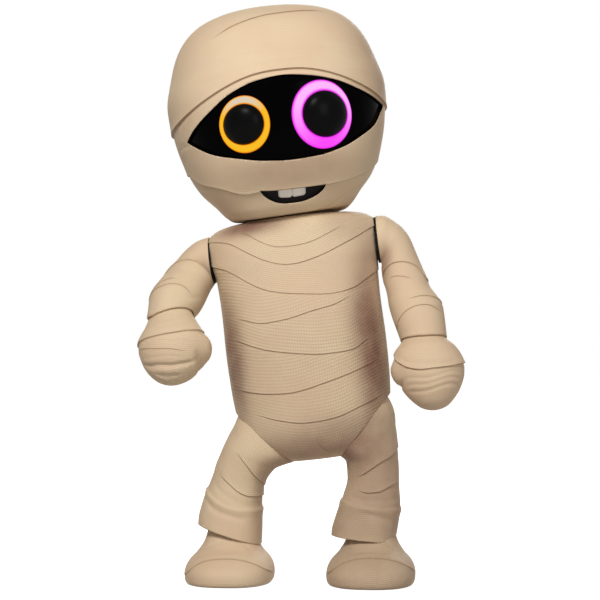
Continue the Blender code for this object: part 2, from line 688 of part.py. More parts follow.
def build_arm_train(torso):
    """The motor's pinion and the idler that turns the other arm the other way."""
    places = arm_train_places()
    drive, idler = places["arm_drive_pinion"], places["arm_idler_gear"]
    towards = math.atan2(idler[1] - drive[1], idler[0] - drive[0])
    phases = {"arm_drive_pinion": 0.0,
              "arm_idler_gear": mesh_phase(ARM_PINION_TEETH, 0.0, ARM_PINION_TEETH, towards)}
    spans = {"arm_drive_pinion": (-20 * MM, 6 * MM), "arm_idler_gear": (-6 * MM, 20 * MM)}
    far = PINION_PLATE_X[1] - FIT
    for name, (y, z) in places.items():
        turn = empty(name + "_axle", torso, (0, y, z))
        teeth = gear_outline(ARM_MODULE, ARM_PINION_TEETH, phases[name])
        made = prism(name, "x", teeth, *spans[name], "white_acetal", turn)
        join(made, bar(name + "_journal", JOURNAL_RADIUS, (-far, 0, 0), (far, 0, 0), turn, 16))
    y, z = drive
    radius, reach = ARM_MOTOR
    turned("arm_motor", "x", ((-reach, -PINION_PLATE_X[1] - FIT, radius),), "motor_can", torso, (y, z))
    return places, phases


def build_shoulder(torso, side, sign, places, phases):
    """Shaft with its gear, bush, disc, arm shell and fist of one side."""
    arm = empty(side + "_shoulder", torso, (sign * SHOULDER_FLAT, 0, SHOULDER_Z))
    partner = "arm_drive_pinion" if side == "right" else "arm_idler_gear"
    y, z = places[partner]
    towards = math.atan2(SHOULDER_Z - z, -y)
    phase = mesh_phase(ARM_PINION_TEETH, phases[partner], ARM_GEAR_TEETH, towards)
    teeth = gear_outline(ARM_MODULE, ARM_GEAR_TEETH, phase)
    disc_in = FIT
    disc_out = disc_in + SHOULDER_DISC_THICK
    flange = (disc_out + FIT, disc_out + FIT + FLANGE[1])
    near, far = sorted((sign * (10 * MM - SHOULDER_FLAT), sign * (20 * MM - SHOULDER_FLAT)))
    shaft = prism(side + "_shoulder_shaft", "x", teeth, near, far, "white_acetal", arm)
    ends = (sign * (8 * MM - SHOULDER_FLAT), sign * flange[1])
    join(shaft, bar(side + "_shaft_bar", SHAFT_RADIUS, (ends[0], 0, 0), (ends[1], 0, 0), arm))
    join(shaft, bar(side + "_shaft_flange", FLANGE[0], (sign * flange[0], 0, 0),
                    (sign * (flange[1] + 1 * MM), 0, 0), arm))
    near, far = sorted((sign * (CHEEK_X[0] - OVERLAP), sign * (CHEEK_X[1] + OVERLAP)))
    tube(side + "_shoulder_bush", "x", SHAFT_RADIUS + FIT, SHAFT_RADIUS + BUSH_WALL, near, far, "bronze", torso,
         (0, SHOULDER_Z))
    near, far = sorted((sign * disc_in, sign * disc_out))
    tube(side + "_shoulder_disc", "x", SHAFT_RADIUS + FIT, SHOULDER_DISC_RADIUS, near, far, "matt_black", arm,
         count=EYE_STEPS)
    build_arm_shell(arm, side, sign, disc_out + FIT)
    return arm


def arm_rings(side, sign, start, inset):
    """Ring points of an arm shell, and the wrist's middle and directions."""
    rows = np.array(ARM_ROWS[side], float) * MM
    inner = np.stack([rows[:, 0], -rows[:, 4], rows[:, 1]], axis=1)
    outer = np.stack([rows[:, 2], -rows[:, 4], rows[:, 3]], axis=1)
    middle = (inner + outer) / 2
    across = (outer - inner) / 2
    half = np.linalg.norm(across, axis=1, keepdims=True)
    across = across / half
    way = np.gradient(middle, axis=0)
    way[0] = (1, 0, 0)
    way /= np.linalg.norm(way, axis=1, keepdims=True)
    deep = np.array([0, -1.0, 0]) - (way @ np.array([0, -1.0, 0]))[:, None] * way
    deep -= np.sum(deep * across, axis=1, keepdims=True) * across
    deep /= np.linalg.norm(deep, axis=1, keepdims=True)
    turn = np.radians(np.linspace(0, 360, LIMB_STEPS, endpoint=False))
    rings = (middle[:, None] + across[:, None] * ((half - inset) * np.cos(turn))[:, :, None]
             + deep[:, None] * ((rows[:, 5:6] - inset) * np.sin(turn))[:, :, None])
    rings[:, :, 0] += start
    rings[:, :, 0] *= sign
    wrist = (middle[-1] + (start, 0, 0), across[-1], deep[-1], half[-1, 0])
    return rings, wrist


def build_arm_shell(arm, side, sign, start):
    """The hollow arm and the fist plugged into it."""
    outer, wrist = arm_rings(side, sign, start, 0.0)
    inner, _ = arm_rings(side, sign, start, ARM_WALL)
    wall(side + "_arm_shell", outer, inner, "skin", arm, closed=True)
    middle, across, deep, half = wrist
    bore = half - ARM_WALL - WRIST_CLEARANCE
    way = np.cross(across, deep)
    way *= -np.sign(way[2])
    rows = np.array(FIST_ROWS, float)
    turn = np.radians(np.linspace(0, 360, LIMB_STEPS, endpoint=False))
    ease = np.clip(rows[:, 0] / 50, 0, 2)
    shift = np.array(FIST_SHIFT[side], float) * MM
    solids = []
    for inset, start in ((0.0, 0.0), (ARM_WALL, -5 * MM)):
        wide = np.maximum(rows[:, 1] * bore - inset, 0)
        depth = np.maximum(rows[:, 2] * bore - inset, 0)
        reach = rows[:, 0] * MM
        reach[0] += start
        reach[-1] -= inset
        centre = middle + way * reach[:, None] + shift * ease[:, None]
        ring = (across[None, None] * (wide[:, None] * np.cos(turn))[:, :, None]
                + deep[None, None] * (depth[:, None] * np.sin(turn))[:, :, None])
        thumb = np.exp(-((rows[:, 0] - THUMB["reach"]) / 20) ** 2)[:, None]
        facing = np.clip(-0.8 * np.cos(turn) + 0.6 * np.sin(turn), 0, 1)[None] ** 4
        ring *= 1 + (THUMB["swell"] * thumb * facing)[:, :, None]
        points = centre[:, None] + ring
        points[:, :, 0] *= sign
        solids.append(points)
    fist = stack(side + "_fist", solids[0], "skin", arm)
    cut(fist, stack(side + "_fist_hollow", solids[1], "skin", arm))


def leg_edges(side, depth, inset=0.0):
    """Inner edge, outer edge and half depth of a leg at these distances below the hip pin."""
    rows = np.array(LEG_ROWS[side], float) * (LEG_UNIT, MM, MM, MM)
    inner = np.interp(depth, rows[:, 0], rows[:, 1])
    outer = np.interp(depth, rows[:, 0], rows[:, 2])
    half = np.interp(depth, rows[:, 0], rows[:, 3])
    above = np.sqrt(np.clip(1 - (np.minimum(depth, 0) / THIGH_RADIUS) ** 2, 0, 1))
    return inner * above + inset, outer * above - inset, half * above - inset


def leg_grid(side, sign, inset):
    """Grid of a leg shell from its slanted open top to its hem."""
    turn = np.radians(np.linspace(0, 360, LIMB_STEPS + 2, endpoint=False))
    u, v = power_curve(turn, LEG_POWER)
    place, slope = RIM
    hem, hem_slope = HEM[side]
    rows = []
    for depth in LEG_RINGS:
        ease = max(0.0, 1 - depth / RIM_EASE)
        inner, outer, _ = leg_edges(side, depth * LEG_UNIT, inset)
        x = (inner + outer) / 2 + (outer - inner) / 2 * u
        z = -depth * LEG_UNIT + ease * slope * (x - place * MM)
        rows.append((x, z))
    inner, outer, _ = leg_edges(side, hem * LEG_UNIT, inset)
    x = (inner + outer) / 2 + (outer - inner) / 2 * u
    rows.append((x, -hem * LEG_UNIT - hem_slope * x))
    grid = []
    for _, z in rows:
        inner, outer, half = leg_edges(side, -z, inset)
        x = (inner + outer) / 2 + (outer - inner) / 2 * u
        grid.append(np.stack([sign * x, half * v, z], axis=1))
    return np.array(grid)


def link_outline(side, sign):
    """Flat outline of a leg link in height and lateral places, wide where it carries the shell."""
    top, bottom = WEB
    depths = np.array([0, 20, 40, 60, 80, 100, top - 0.1, top, bottom, bottom + 0.1, 140, 160, 180, 198]) * LEG_UNIT
    inner, outer, _ = leg_edges(side, depths, LEG_WALL + 3 * FIT)
    middle = 0.8 * (inner + outer) / 2 * np.sin(math.pi * depths / LEG_LENGTH)
    low, high = middle - LINK_HALF_WIDTH, middle + LINK_HALF_WIDTH
    web = (depths > (top - 0.05) * LEG_UNIT) & (depths < (bottom + 0.05) * LEG_UNIT)
    low = np.where(web, inner, low)
    high = np.where(web, outer, high)
    down = [(-d, sign * x) for d, x in zip(depths, high)]
    back = [(-d, sign * x) for d, x in zip(depths, low)]
    return down + back[::-1]


def build_leg(torso, side, sign, splay, lean):
    """One leg: link with its sector gear, shell, pins, shoe and sole. Its empty stands on the hip pin."""
    turn = -sign * splay
    leg = empty(side + "_hip", torso, (sign * HIP_HALF_SPAN, 0, HIP_Z), (0, turn, 0))
    wall(side + "_leg_shell", leg_grid(side, sign, 0.0), leg_grid(side, sign, LEG_WALL), "skin", leg, closed=True)
    towards = sign * math.pi / 2
    phase = mesh_phase(HIP_PINION_TEETH, 0.0, HIP_GEAR_TEETH, towards) - turn / 360 * HIP_GEAR_TEETH
    pitch = 360 / HIP_GEAR_TEETH
    low, high = sorted(-sign * angle for angle in SECTOR_SPAN)
    first = math.ceil(low / pitch - phase)
    count = math.floor(high / pitch - phase) - first + 1
    sector = gear_outline(HIP_MODULE, HIP_GEAR_TEETH, phase, first, count) + [(0, 0)]
    half = LINK_THICK / 2
    link = prism(side + "_leg_link", "y", link_outline(side, sign), -half, half, "grey_plastic", leg)
    join(link, prism(side + "_sector", "y", sector, -half - OVERLAP / 2, half + OVERLAP / 2, "grey_plastic", leg))
    join(link, bar(side + "_hip_hub", HIP_HUB[0], (0, -HIP_HUB[1], 0), (0, HIP_PLATE_Y[0] - FIT, 0), leg))
    join(link, bar(side + "_ankle_hub", ANKLE_HUB[0], (0, -ANKLE_HUB[1], -LEG_LENGTH),
                   (0, ANKLE_HUB[1], -LEG_LENGTH), leg))
    cut(link, bar(side + "_hip_hole", PIN_RADIUS + FIT, (0, -0.02, 0), (0, 0.02, 0), leg))
    cut(link, bar(side + "_ankle_hole", ANKLE_PIN_RADIUS + FIT, (0, -0.02, -LEG_LENGTH),
                  (0, 0.02, -LEG_LENGTH), leg))
    front = -HIP_HUB[1] - FIT
    back = HIP_PLATE_Y[1] + FIT
    turned(side + "_hip_pin", "y", ((front - PIN_HEAD[1], front, PIN_HEAD[0]), (front, back, PIN_RADIUS),
                                    (back, back + PIN_HEAD[1] - 2 * FIT, PIN_HEAD[0])), "steel", torso,
           (HIP_Z, sign * HIP_HALF_SPAN))
    foot = empty(side + "_ankle", leg, (0, 0, -LEG_LENGTH), (0, lean - turn, 0))
    build_shoe(foot, side)
    return leg


def shoe_grid(inset):
    """Grid of a shoe upper, from its collar down to its edge."""
    rows = np.array(SHOE_ROWS[::-1], float) * MM
    turn = np.radians(np.linspace(0, 360, LIMB_STEPS + 2, endpoint=False))
    u, v = power_curve(turn, SHOE_POWER)
    middle = (rows[:, 2:3] + rows[:, 3:4]) / 2
    half = (rows[:, 3:4] - rows[:, 2:3]) / 2 - inset
    x = (rows[:, 1:2] - inset) * u
    y = middle + half * v
    z = np.repeat(rows[:, 0:1], len(turn), axis=1) - ANKLE_Z
    return np.stack([x, y, z], axis=2)


def build_shoe(foot, side):
    """Shoe upper, sole with its two ears, and the ankle pin."""
    wall(side + "_shoe", shoe_grid(0.0), shoe_grid(SHOE_WALL), "skin", foot, closed=True)
    turn = np.radians(np.linspace(0, 360, LIMB_STEPS + 2, endpoint=False))
    u, v = power_curve(turn, SHOE_POWER)
    _, width, front, back = (size * MM for size in SHOE_ROWS[0])
    seat = SHOE_WALL + FIT
    rings = []
    for inset, height in ((seat + SOLE_BEVEL, 0.0), (seat, SOLE_BEVEL), (seat, SOLE_THICK)):
        half = (back - front) / 2 - inset
        rings.append(np.stack([(width - inset) * u, (back + front) / 2 + half * v,
                               np.full(len(turn), height - ANKLE_Z)], axis=1))
    sole = stack(side + "_sole", rings, "sole_vinyl", foot)
    for name, at in (("front", -1), ("back", 1)):
        near, far = sorted((at * EAR_Y[0], at * EAR_Y[1]))
        join(sole, block(f"{side}_{name}_ear", (-EAR_HALF_WIDTH, near, SOLE_THICK - OVERLAP - ANKLE_Z),
                         (EAR_HALF_WIDTH, far, EAR_HALF_WIDTH), "sole_vinyl", foot))
    cut(sole, bar(side + "_ear_hole", ANKLE_PIN_RADIUS + FIT, (0, -0.02, 0), (0, 0.02, 0), foot))
    turned(side + "_ankle_pin", "y", ((-EAR_Y[1], EAR_Y[1], ANKLE_PIN_RADIUS),), "steel", foot)


def build_hip_drive(torso):
    """The hip motor and the pinion that swings both legs."""
    drive = empty("hip_drive_axle", torso, (0, 0, HIP_Z))
    teeth = gear_outline(HIP_MODULE, HIP_PINION_TEETH, 0.0)
    made = prism("hip_drive_gear", "y", teeth, -5 * MM, 5 * MM, "white_acetal", drive)
    join(made, bar("hip_drive_journal", JOURNAL_RADIUS, (0, -6 * MM, 0), (0, HIP_PLATE_Y[1] - FIT, 0), drive, 16))
    radius, reach = HIP_MOTOR
    turned("hip_motor", "y", ((HIP_PLATE_Y[1] + FIT, HIP_PLATE_Y[1] + reach, radius),), "motor_can", torso,
           (HIP_Z, 0))


def build_works(torso):
    """Board, speaker, head motor and switch."""
    front = SPINE_Y[0] - FIT
    half, low, high = CONTROL_BOARD
    block("control_board", (-half, front - BOARD_THICK, low), (half, front, high), "board", torso)
    back = torso_depth(0, SPEAKER_Z, TORSO_WALL)
    start = SPINE_Y[1] + FIT
    magnet, depth = SPEAKER_MAGNET
    cone = (start + depth + OVERLAP, back - OVERLAP, SPEAKER_RADIUS)
    turned("speaker", "y", ((start, start + depth, magnet), cone), "grey_plastic", torso, (SPEAKER_Z, 0))
    radius, reach = HEAD_MOTOR
    turned("head_motor", "z", ((-reach, TOP_PLATE_Z[0] - FIT, radius),), "motor_can", torso,
           (0, neck_pinion_place()))
    half = (KNOB[0] / 2 + 6 * MM, KNOB[1] / 2 + SWITCH_TRAVEL / 2 + 6 * MM)
    back = torso_depth(half[0], SWITCH_Z + half[1], TORSO_WALL) - 2 * FIT
    housing = block("switch_housing", (-half[0], SPINE_Y[1] + FIT, SWITCH_Z - half[1]),
                    (half[0], back, SWITCH_Z + half[1]), "matt_black", torso)
    well = (KNOB[0] / 2 + FIT, KNOB[1] / 2 + SWITCH_TRAVEL / 2 + FIT)
    cut(housing, block("switch_well", (-well[0], back - 8 * MM, SWITCH_Z - well[1]),
                       (well[0], back + 10 * MM, SWITCH_Z + well[1]), "matt_black", torso))
    rest = SWITCH_Z - SWITCH_TRAVEL / 2
    slide = empty("power_switch_slide", torso, (0, back, rest))
    low = -8 * MM + FIT
    block("power_switch_knob", (-KNOB[0] / 2, low, -KNOB[1] / 2), (KNOB[0] / 2, 5.5 * MM, KNOB[1] / 2),
          "rubber", slide)
    for index, (x, z) in enumerate(TORSO_SCREWS):
        screw(f"torso_screw_{index + 1}", torso, x, z, torso_depth(x, z), SPINE_Y[0] - 1 * MM)


def build_neck(torso, head):
    """Bearing, post with its gear, and the motor's pinion."""
    gear_low, gear_high = TOP_PLATE_Z[1] + 2.5 * MM, TOP_PLATE_Z[1] + 8.5 * MM
    tube("neck_bearing", "z", NECK_SHAFT_RADIUS + FIT, BEARING_RADIUS, TOP_PLATE_Z[0] - 1 * MM, gear_low - FIT,
         "bronze", torso)
    teeth = gear_outline(NECK_MODULE, NECK_GEAR_TEETH, 0.0)
    post = prism("neck_post", "z", teeth, gear_low, gear_high, "white_acetal", head)
    under = TOP_PLATE_Z[0] - 1 * MM - FIT
    join(post, bar("neck_bar", NECK_SHAFT_RADIUS, (0, 0, under - 3.7 * MM), (0, 0, BRACKET_Z - OVERLAP), head))
    join(post, bar("neck_nut", NECK_NUT_RADIUS, (0, 0, under - 4.7 * MM), (0, 0, under), head))
    join(post, bar("neck_flange", NECK_FLANGE_RADIUS, (0, 0, BRACKET_Z - 6 * MM), (0, 0, BRACKET_Z - FIT), head))
    pinion = empty("head_pinion_axle", torso, (0, neck_pinion_place(), 0))
    phase = mesh_phase(NECK_GEAR_TEETH, HEAD_TURN / 360 * NECK_GEAR_TEETH, NECK_PINION_TEETH, math.pi / 2)
    teeth = gear_outline(NECK_MODULE, NECK_PINION_TEETH, phase)
    made = prism("head_pinion", "z", teeth, gear_low - 0.5 * MM, gear_high + 0.5 * MM, "white_acetal", pinion)
    join(made, bar("head_pinion_journal", JOURNAL_RADIUS, (0, 0, TOP_PLATE_Z[0] + FIT), (0, 0, gear_high),
                   pinion, 16))


def head_patch(across, low, high, inset, rows=6):
    """Grid of the head's front surface between two edges, at a depth below it."""
    share = np.linspace(0, 1, rows)[:, None]
    z = low[None] * (1 - share) + high[None] * share
    x = np.repeat(across[None], rows, axis=0)
    depth = depth_at(HEAD_ROWS, HEAD_POWER, inset, x, z)
    return np.stack([x, -depth, z], axis=2)


def eye_opening(margin=0.0, columns=18):
    """Lateral places, lower and upper edges of the eye opening, widened by a margin."""
    rows = np.array(EYE_OPENING, float) * MM
    turn = np.linspace(0, math.pi, columns)
    left, right = rows[0, 0], rows[-1, 0]
    across = (left + right) / 2 - (right - left) / 2 * np.cos(turn)
    low = np.interp(across, rows[:, 0], rows[:, 1])
    high = np.interp(across, rows[:, 0], rows[:, 2])
    return across, low - margin, high + margin


def build_head(head):
    """Shells, visor, eyes, mouth and bracket. The empty stands on the neck's axis."""
    outer = offset_rows(HEAD_ROWS, 0.0)
    inner = offset_rows(HEAD_ROWS, HEAD_WALL)
    shells = {}
    for name, angles in (("head_front_shell", FRONT), ("head_back_shell", BACK)):
        grids = [profile_grid(rows, angles, HEAD_POWER, FIT / 2) for rows in (outer, inner)]
        shells[name] = wall(name, *grids, "skin", head)
    across, low, high = eye_opening()
    cutter = wall("eye_opening", head_patch(across, low, high, -14 * MM), head_patch(across, low, high, 14 * MM),
                  "matt_black", head)
    mouth = [(x * MM, z * MM) for x, z in MOUTH_OUTLINE]
    front = shells["head_front_shell"]
    cut(front, cutter, extruded("mouth_opening", mouth, head, (-0.16, -0.05)))
    skin = HEAD_WALL + VISOR_SEAT
    across, low, high = eye_opening(VISOR_MARGIN)
    across = np.clip(across * 1.03, -VISOR_REACH, VISOR_REACH)
    wall("eye_visor", head_patch(across, low, high, skin), head_patch(across, low, high, skin + VISOR_WALL),
         "gloss_black", head)
    for name, eye in EYES.items():
        build_eye(head, name, eye, skin)
    half, bottom, top = MOUTH_PLATE
    across = np.linspace(-half, half, 15)
    low, high = np.full(15, bottom), np.full(15, top)
    wall("mouth_plate", head_patch(across, low, high, skin), head_patch(across, low, high, skin + MOUTH_PLATE_WALL),
         "matt_black", head)
    left, right, bottom, top = TEETH
    across = np.linspace(left, right, 11)
    groove = 2.2 * MM * np.exp(-((across - (left + right) / 2) / (2 * MM)) ** 2)
    corner = 4 * MM * np.abs(np.linspace(-1, 1, 11)) ** 6
    low = bottom + groove + corner
    back_inset = skin - FIT
    wall("front_teeth", head_patch(across, low, np.full(11, top), back_inset - TEETH_PROUD, 4),
         head_patch(across, low, np.full(11, top), back_inset, 4), "tooth", head)
    build_bracket(head, shells["head_back_shell"])


def build_eye(head, name, eye, skin):
    """A lit ring and its pupil dome, seated on the visor."""
    cx, cz = eye["at"][0] * MM, eye["at"][1] * MM
    turn = np.radians(np.linspace(0, 360, EYE_STEPS, endpoint=False))

    def oval(size, inset, lift=0.0):
        x = cx + size[0] * MM * np.cos(turn)
        z = cz + size[1] * MM * np.sin(turn)
        depth = depth_at(HEAD_ROWS, HEAD_POWER, inset, x, z)
        return np.stack([x, -depth - lift, z], axis=1)

    back = skin - 1.5 * FIT
    ring, pupil = eye["ring"], eye["pupil"]
    bore = (pupil[0] + 0.4, pupil[1] + 0.4)
    front_rings = np.array([oval(ring, back - EYE_RING_PROUD), oval(bore, back - EYE_RING_PROUD)])
    back_rings = np.array([oval(ring, back), oval(bore, back)])
    wall(name + "_eye_ring", front_rings, back_rings, f"{name}_lamp", head, closed=True)
    rings = [oval((pupil[0] * share, pupil[1] * share), back) for share in (0.15, 0.4, 0.7, 1.0)]
    for share in (1.0, 0.96, 0.86, 0.7, 0.45, 0.15):
        lift = EYE_RING_PROUD + eye["dome"] * MM * math.sqrt(1 - share ** 2)
        rings.append(oval((pupil[0] * share, pupil[1] * share), back, lift))
    stack(name + "_pupil", rings, "gloss_black", head)


def build_bracket(head, back_shell):
    """The frame that joins the neck post to the lamp board and the back shell."""
    plate = block("head_bracket", (-BRACKET_HALF, UPRIGHT_Y, BRACKET_Z), (BRACKET_HALF, BRACKET_BACK,
                  BRACKET_Z + BRACKET_THICK), "grey_plastic", head)
    join(plate, block("bracket_upright", (-UPRIGHT_HALF, UPRIGHT_Y - 3 * MM, BRACKET_Z + 1 * MM),
                      (UPRIGHT_HALF, UPRIGHT_Y + 1 * MM, BOARD_Z[1] - 4 * MM), "grey_plastic", head))
    for index, (x, z) in enumerate(HEAD_SCREWS):
        corners_x = x + TAB_HALF * np.array((-1, -1, 1, 1))
        corners_z = z + TAB_HALF * np.array((-1, 1, -1, 1))
        reach = float(np.min(depth_at(HEAD_ROWS, HEAD_POWER, HEAD_WALL, corners_x, corners_z))) - 2 * FIT
        join(plate, block(f"bracket_post_{index}", (x - TAB_HALF, POST_Y[0], BRACKET_Z + 1 * MM),
                          (x + TAB_HALF, POST_Y[1], z + TAB_HALF), "grey_plastic", head))
        join(plate, block(f"bracket_tab_{index}", (x - TAB_HALF, POST_Y[1] - 1 * MM, z - TAB_HALF),
                          (x + TAB_HALF, reach, z + TAB_HALF), "grey_plastic", head))
        surface = head_depth(x, z)
        cut(plate, bar(f"bracket_bore_{index}", SCREW_RADIUS + FIT, (x, 0.07, z), (x, 0.2, z), head, 12))
        cut(back_shell, screw_cutter(f"head_screw_seat_{index}", head, x, z, surface, 0.08))
        screw(f"head_screw_{index + 1}", head, x, z, surface, reach - 14 * MM)
    front = UPRIGHT_Y - 3 * MM - FIT
    block("eye_lamp_board", (LAMP_BOARD_X[0], front - BOARD_THICK, BOARD_Z[0]), (LAMP_BOARD_X[1], front, BOARD_Z[1]),
          "board", head)


def settle(figure):
    """Moves the figure so that the middle of its footprint box is at the origin and its soles at zero."""
    bpy.context.view_layer.update()
    graph = bpy.context.evaluated_depsgraph_get()
    corners = []
    for made in bpy.context.scene.objects:
        if made.type == "MESH" and not made.hide_render:
            solid = made.evaluated_get(graph)
            corners += [solid.matrix_world @ Vector(corner) for corner in solid.bound_box]
    corners = np.array([tuple(corner) for corner in corners])
    low, high = corners.min(axis=0), corners.max(axis=0)
    figure.location = (-(low[0] + high[0]) / 2, -(low[1] + high[1]) / 2, -low[2])


def main():
    """Builds the figure."""
    clear_scene()
    figure = empty("figure")
    half = math.radians(RIGHT_SPLAY - TORSO_LEAN)
    lean = math.radians(TORSO_LEAN)
    rise = 2 * HIP_HALF_SPAN * math.sin(lean)
    left = math.degrees(math.acos(math.cos(half) + rise / LEG_LENGTH)) - TORSO_LEAN
    splays = {"right": RIGHT_SPLAY, "left": left}
    hip_height = ANKLE_Z + LEG_LENGTH * math.cos(half)
    neck_height = hip_height + HIP_HALF_SPAN * math.sin(lean) - HIP_Z * math.cos(lean)
    torso = empty("torso_frame", figure, (NECK_X, 0, neck_height), (0, -TORSO_LEAN, 0))
    build_torso_shells(torso)
    build_chassis(torso)
    build_door(torso)
    build_battery_box(torso)
    build_works(torso)
    places, phases = build_arm_train(torso)
    for side, sign in SIDES:
        build_shoulder(torso, side, sign, places, phases)
        build_leg(torso, side, sign, splays[side], TORSO_LEAN)
    build_hip_drive(torso)
    head = empty("head_turn", torso, (0, 0, 0), (0, 0, HEAD_TURN))
    build_neck(torso, head)
    build_head(head)
    settle(figure)


main()
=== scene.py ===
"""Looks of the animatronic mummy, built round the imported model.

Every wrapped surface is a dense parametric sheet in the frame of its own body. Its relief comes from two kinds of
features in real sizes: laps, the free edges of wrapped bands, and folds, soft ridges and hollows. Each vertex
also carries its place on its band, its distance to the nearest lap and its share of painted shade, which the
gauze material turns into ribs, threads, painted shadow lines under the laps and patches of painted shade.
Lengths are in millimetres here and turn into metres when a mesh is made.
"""

import json
import logging
import math
from collections.abc import Sequence
from dataclasses import dataclass, field
from enum import Enum
from functools import cached_property
from typing import Any, ClassVar

import bmesh
import bpy
import numpy as np
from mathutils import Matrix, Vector


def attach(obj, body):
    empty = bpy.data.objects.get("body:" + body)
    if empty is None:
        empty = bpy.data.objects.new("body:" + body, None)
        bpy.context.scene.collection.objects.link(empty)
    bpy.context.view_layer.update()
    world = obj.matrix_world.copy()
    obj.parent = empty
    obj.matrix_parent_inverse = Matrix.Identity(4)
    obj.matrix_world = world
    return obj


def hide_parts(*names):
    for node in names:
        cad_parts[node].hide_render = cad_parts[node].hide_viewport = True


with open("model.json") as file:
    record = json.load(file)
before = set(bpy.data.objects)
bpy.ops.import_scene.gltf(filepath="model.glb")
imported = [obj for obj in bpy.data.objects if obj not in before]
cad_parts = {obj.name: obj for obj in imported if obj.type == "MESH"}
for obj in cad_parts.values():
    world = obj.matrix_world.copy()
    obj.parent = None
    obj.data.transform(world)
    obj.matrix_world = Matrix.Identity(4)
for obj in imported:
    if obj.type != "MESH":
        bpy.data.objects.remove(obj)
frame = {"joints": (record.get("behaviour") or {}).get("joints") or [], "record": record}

LOG = logging.getLogger("mummy")
MM = 0.001
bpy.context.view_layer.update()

TORSO_LEAN = math.radians(7.0)
HEAD_TURN = math.radians(10.0)
WHOLE_TURN = 360.0
FAR = 60.0  # stands for "no lap near", in millimetres
LAP_GAP = 5.0  # least distance between neighbouring laps

Array = np.ndarray
Knots = Sequence[tuple[float, float]]
Solid = tuple[Sequence[Sequence[float]], Sequence[Sequence[int]]]
Colour = tuple[float, float, float]
Materials = dict[str, bpy.types.Material]
Piece = bpy.types.Object
Pieces = list[Piece]
Socket = bpy.types.NodeSocket


class Side(Enum):
    """The figure's own sides; a value is the way along X."""

    RIGHT = -1
    LEFT = 1

    @property
    def label(self) -> str:
        """The side's word in the names of pieces, joints and bodies."""
        return self.name.lower()


class Half(Enum):
    """The halves of a shell; a value is its first and its last angle."""

    FRONT = (-90, 90)
    BACK = (90, 270)

    @property
    def label(self) -> str:
        """The half's word in the names of pieces."""
        return self.name.lower()


class Axis(Enum):
    """The ways along which a prism is drawn."""

    X = "x"
    Y = "y"


class Keep(Enum):
    """What a cut leaves of an object."""

    OUTSIDE = "DIFFERENCE"
    INSIDE = "INTERSECT"


class End(Enum):
    """The ends of a sheet that one face may close."""

    FIRST = "first"
    LAST = "last"


# Rows of the shells: height, half width and half depth.
TORSO_ROWS = (
    (3, 36, 34), (2.2, 64, 51), (-0.5, 92, 65), (-6, 116, 73), (-14, 128, 78), (-30, 136, 82), (-60, 134, 86),
    (-84, 127, 88),
    (-140, 125, 92), (-200, 126, 95), (-250, 125, 95), (-296, 121.5, 92), (-326, 116, 87), (-348, 104, 79),
    (-362, 88, 69), (-372, 68, 54), (-377, 44, 34), (-377.6, 0.05, 0.05),
)
TORSO_POWER = 2.5
TORSO_FRONT_POWER = 2.12
SHOULDER_FLAT = 129.0
HEAD_ROWS = (
    (333, 0.05, 0.05), (331, 36, 33), (325, 70, 64), (312, 106, 98), (295, 129, 119), (270, 147, 136),
    (232, 161, 149), (190, 170.5, 157), (140, 165, 153), (94, 153, 143), (56, 135, 126), (30, 113, 106),
    (12, 98, 91), (5, 88, 80), (3.8, 78, 71), (3.6, 30, 30),
)
HEAD_POWER = 2.4
# The chin hangs a little lower on one side: angle, spread and drop.
CHIN = ((-36.0, 36.0, 1.0), (55.0, 35.0, -2.0))


def pchip(x: Array, y: Array, at: Array) -> Array:
    """Monotone cubic interpolation.

    Between two places it is the cubic with the two values and slopes there. A slope is the weighted harmonic mean of
    the two neighbouring rises, or 0 where they differ in sign.

    Args:
        x: Increasing places, shape (n,).
        y: Values there, shape (n,) or (n, k).
        at: Places to read, any shape for one column of values, else one-dimensional.

    Returns:
        The interpolated values.
    """
    x, y, at = (np.asarray(value, float) for value in (x, y, at))
    if y.ndim == 2:
        return np.stack([pchip(x, column, at) for column in y.T], axis=-1)
    step = np.diff(x)
    rise = np.diff(y) / step
    slope = np.zeros_like(y)
    same = rise[1:] * rise[:-1] > 0
    ahead = 2 * step[1:] + step[:-1]
    behind = step[1:] + 2 * step[:-1]
    slope[1:-1][same] = (ahead + behind)[same] / (ahead[same] / rise[:-1][same] + behind[same] / rise[1:][same])
    slope[0], slope[-1] = rise[0], rise[-1]
    cell = np.clip(np.searchsorted(x, at) - 1, 0, len(step) - 1)
    share = np.clip((at - x[cell]) / step[cell], 0, 1)
    square, cube = share ** 2, share ** 3
    return (
        (2 * cube - 3 * square + 1) * y[cell] + (cube - 2 * square + share) * step[cell] * slope[cell]
        + (3 * square - 2 * cube) * y[cell + 1] + (cube - square) * step[cell] * slope[cell + 1]
    )


def smooth(low: float, high: float, value: Array) -> Array:
    """A smooth step from 0 at `low` to 1 at `high`: 3 times the share's square less 2 times its cube."""
    share = np.clip((value - low) / (high - low), 0, 1)
    return share * share * (3 - 2 * share)


@dataclass(frozen=True)
class Place:
    """A rigid frame in the world.

    Args:
        origin: Its origin in metres.
        axes: Its X, Y and Z axes as the columns of a matrix.
    """

    origin: Array
    axes: Array

    def world(self, points: Any) -> Array:
        """World places, in metres, of points given in millimetres in this frame."""
        return np.asarray(points, float) * MM @ self.axes.T + self.origin

    def turned(self, turn: Array) -> "Place":
        """The same origin with the axes turned by a matrix given in this frame."""
        return Place(self.origin, self.axes @ turn)


def about_y(angle: float) -> Array:
    """Rotation matrix about Y, by the right-hand rule."""
    c, s = math.cos(angle), math.sin(angle)
    return np.array(((c, 0, s), (0, 1, 0), (-s, 0, c)))


def about_z(angle: float) -> Array:
    """Rotation matrix about Z, by the right-hand rule."""
    c, s = math.cos(angle), math.sin(angle)
    return np.array(((c, -s, 0), (s, c, 0), (0, 0, 1)))


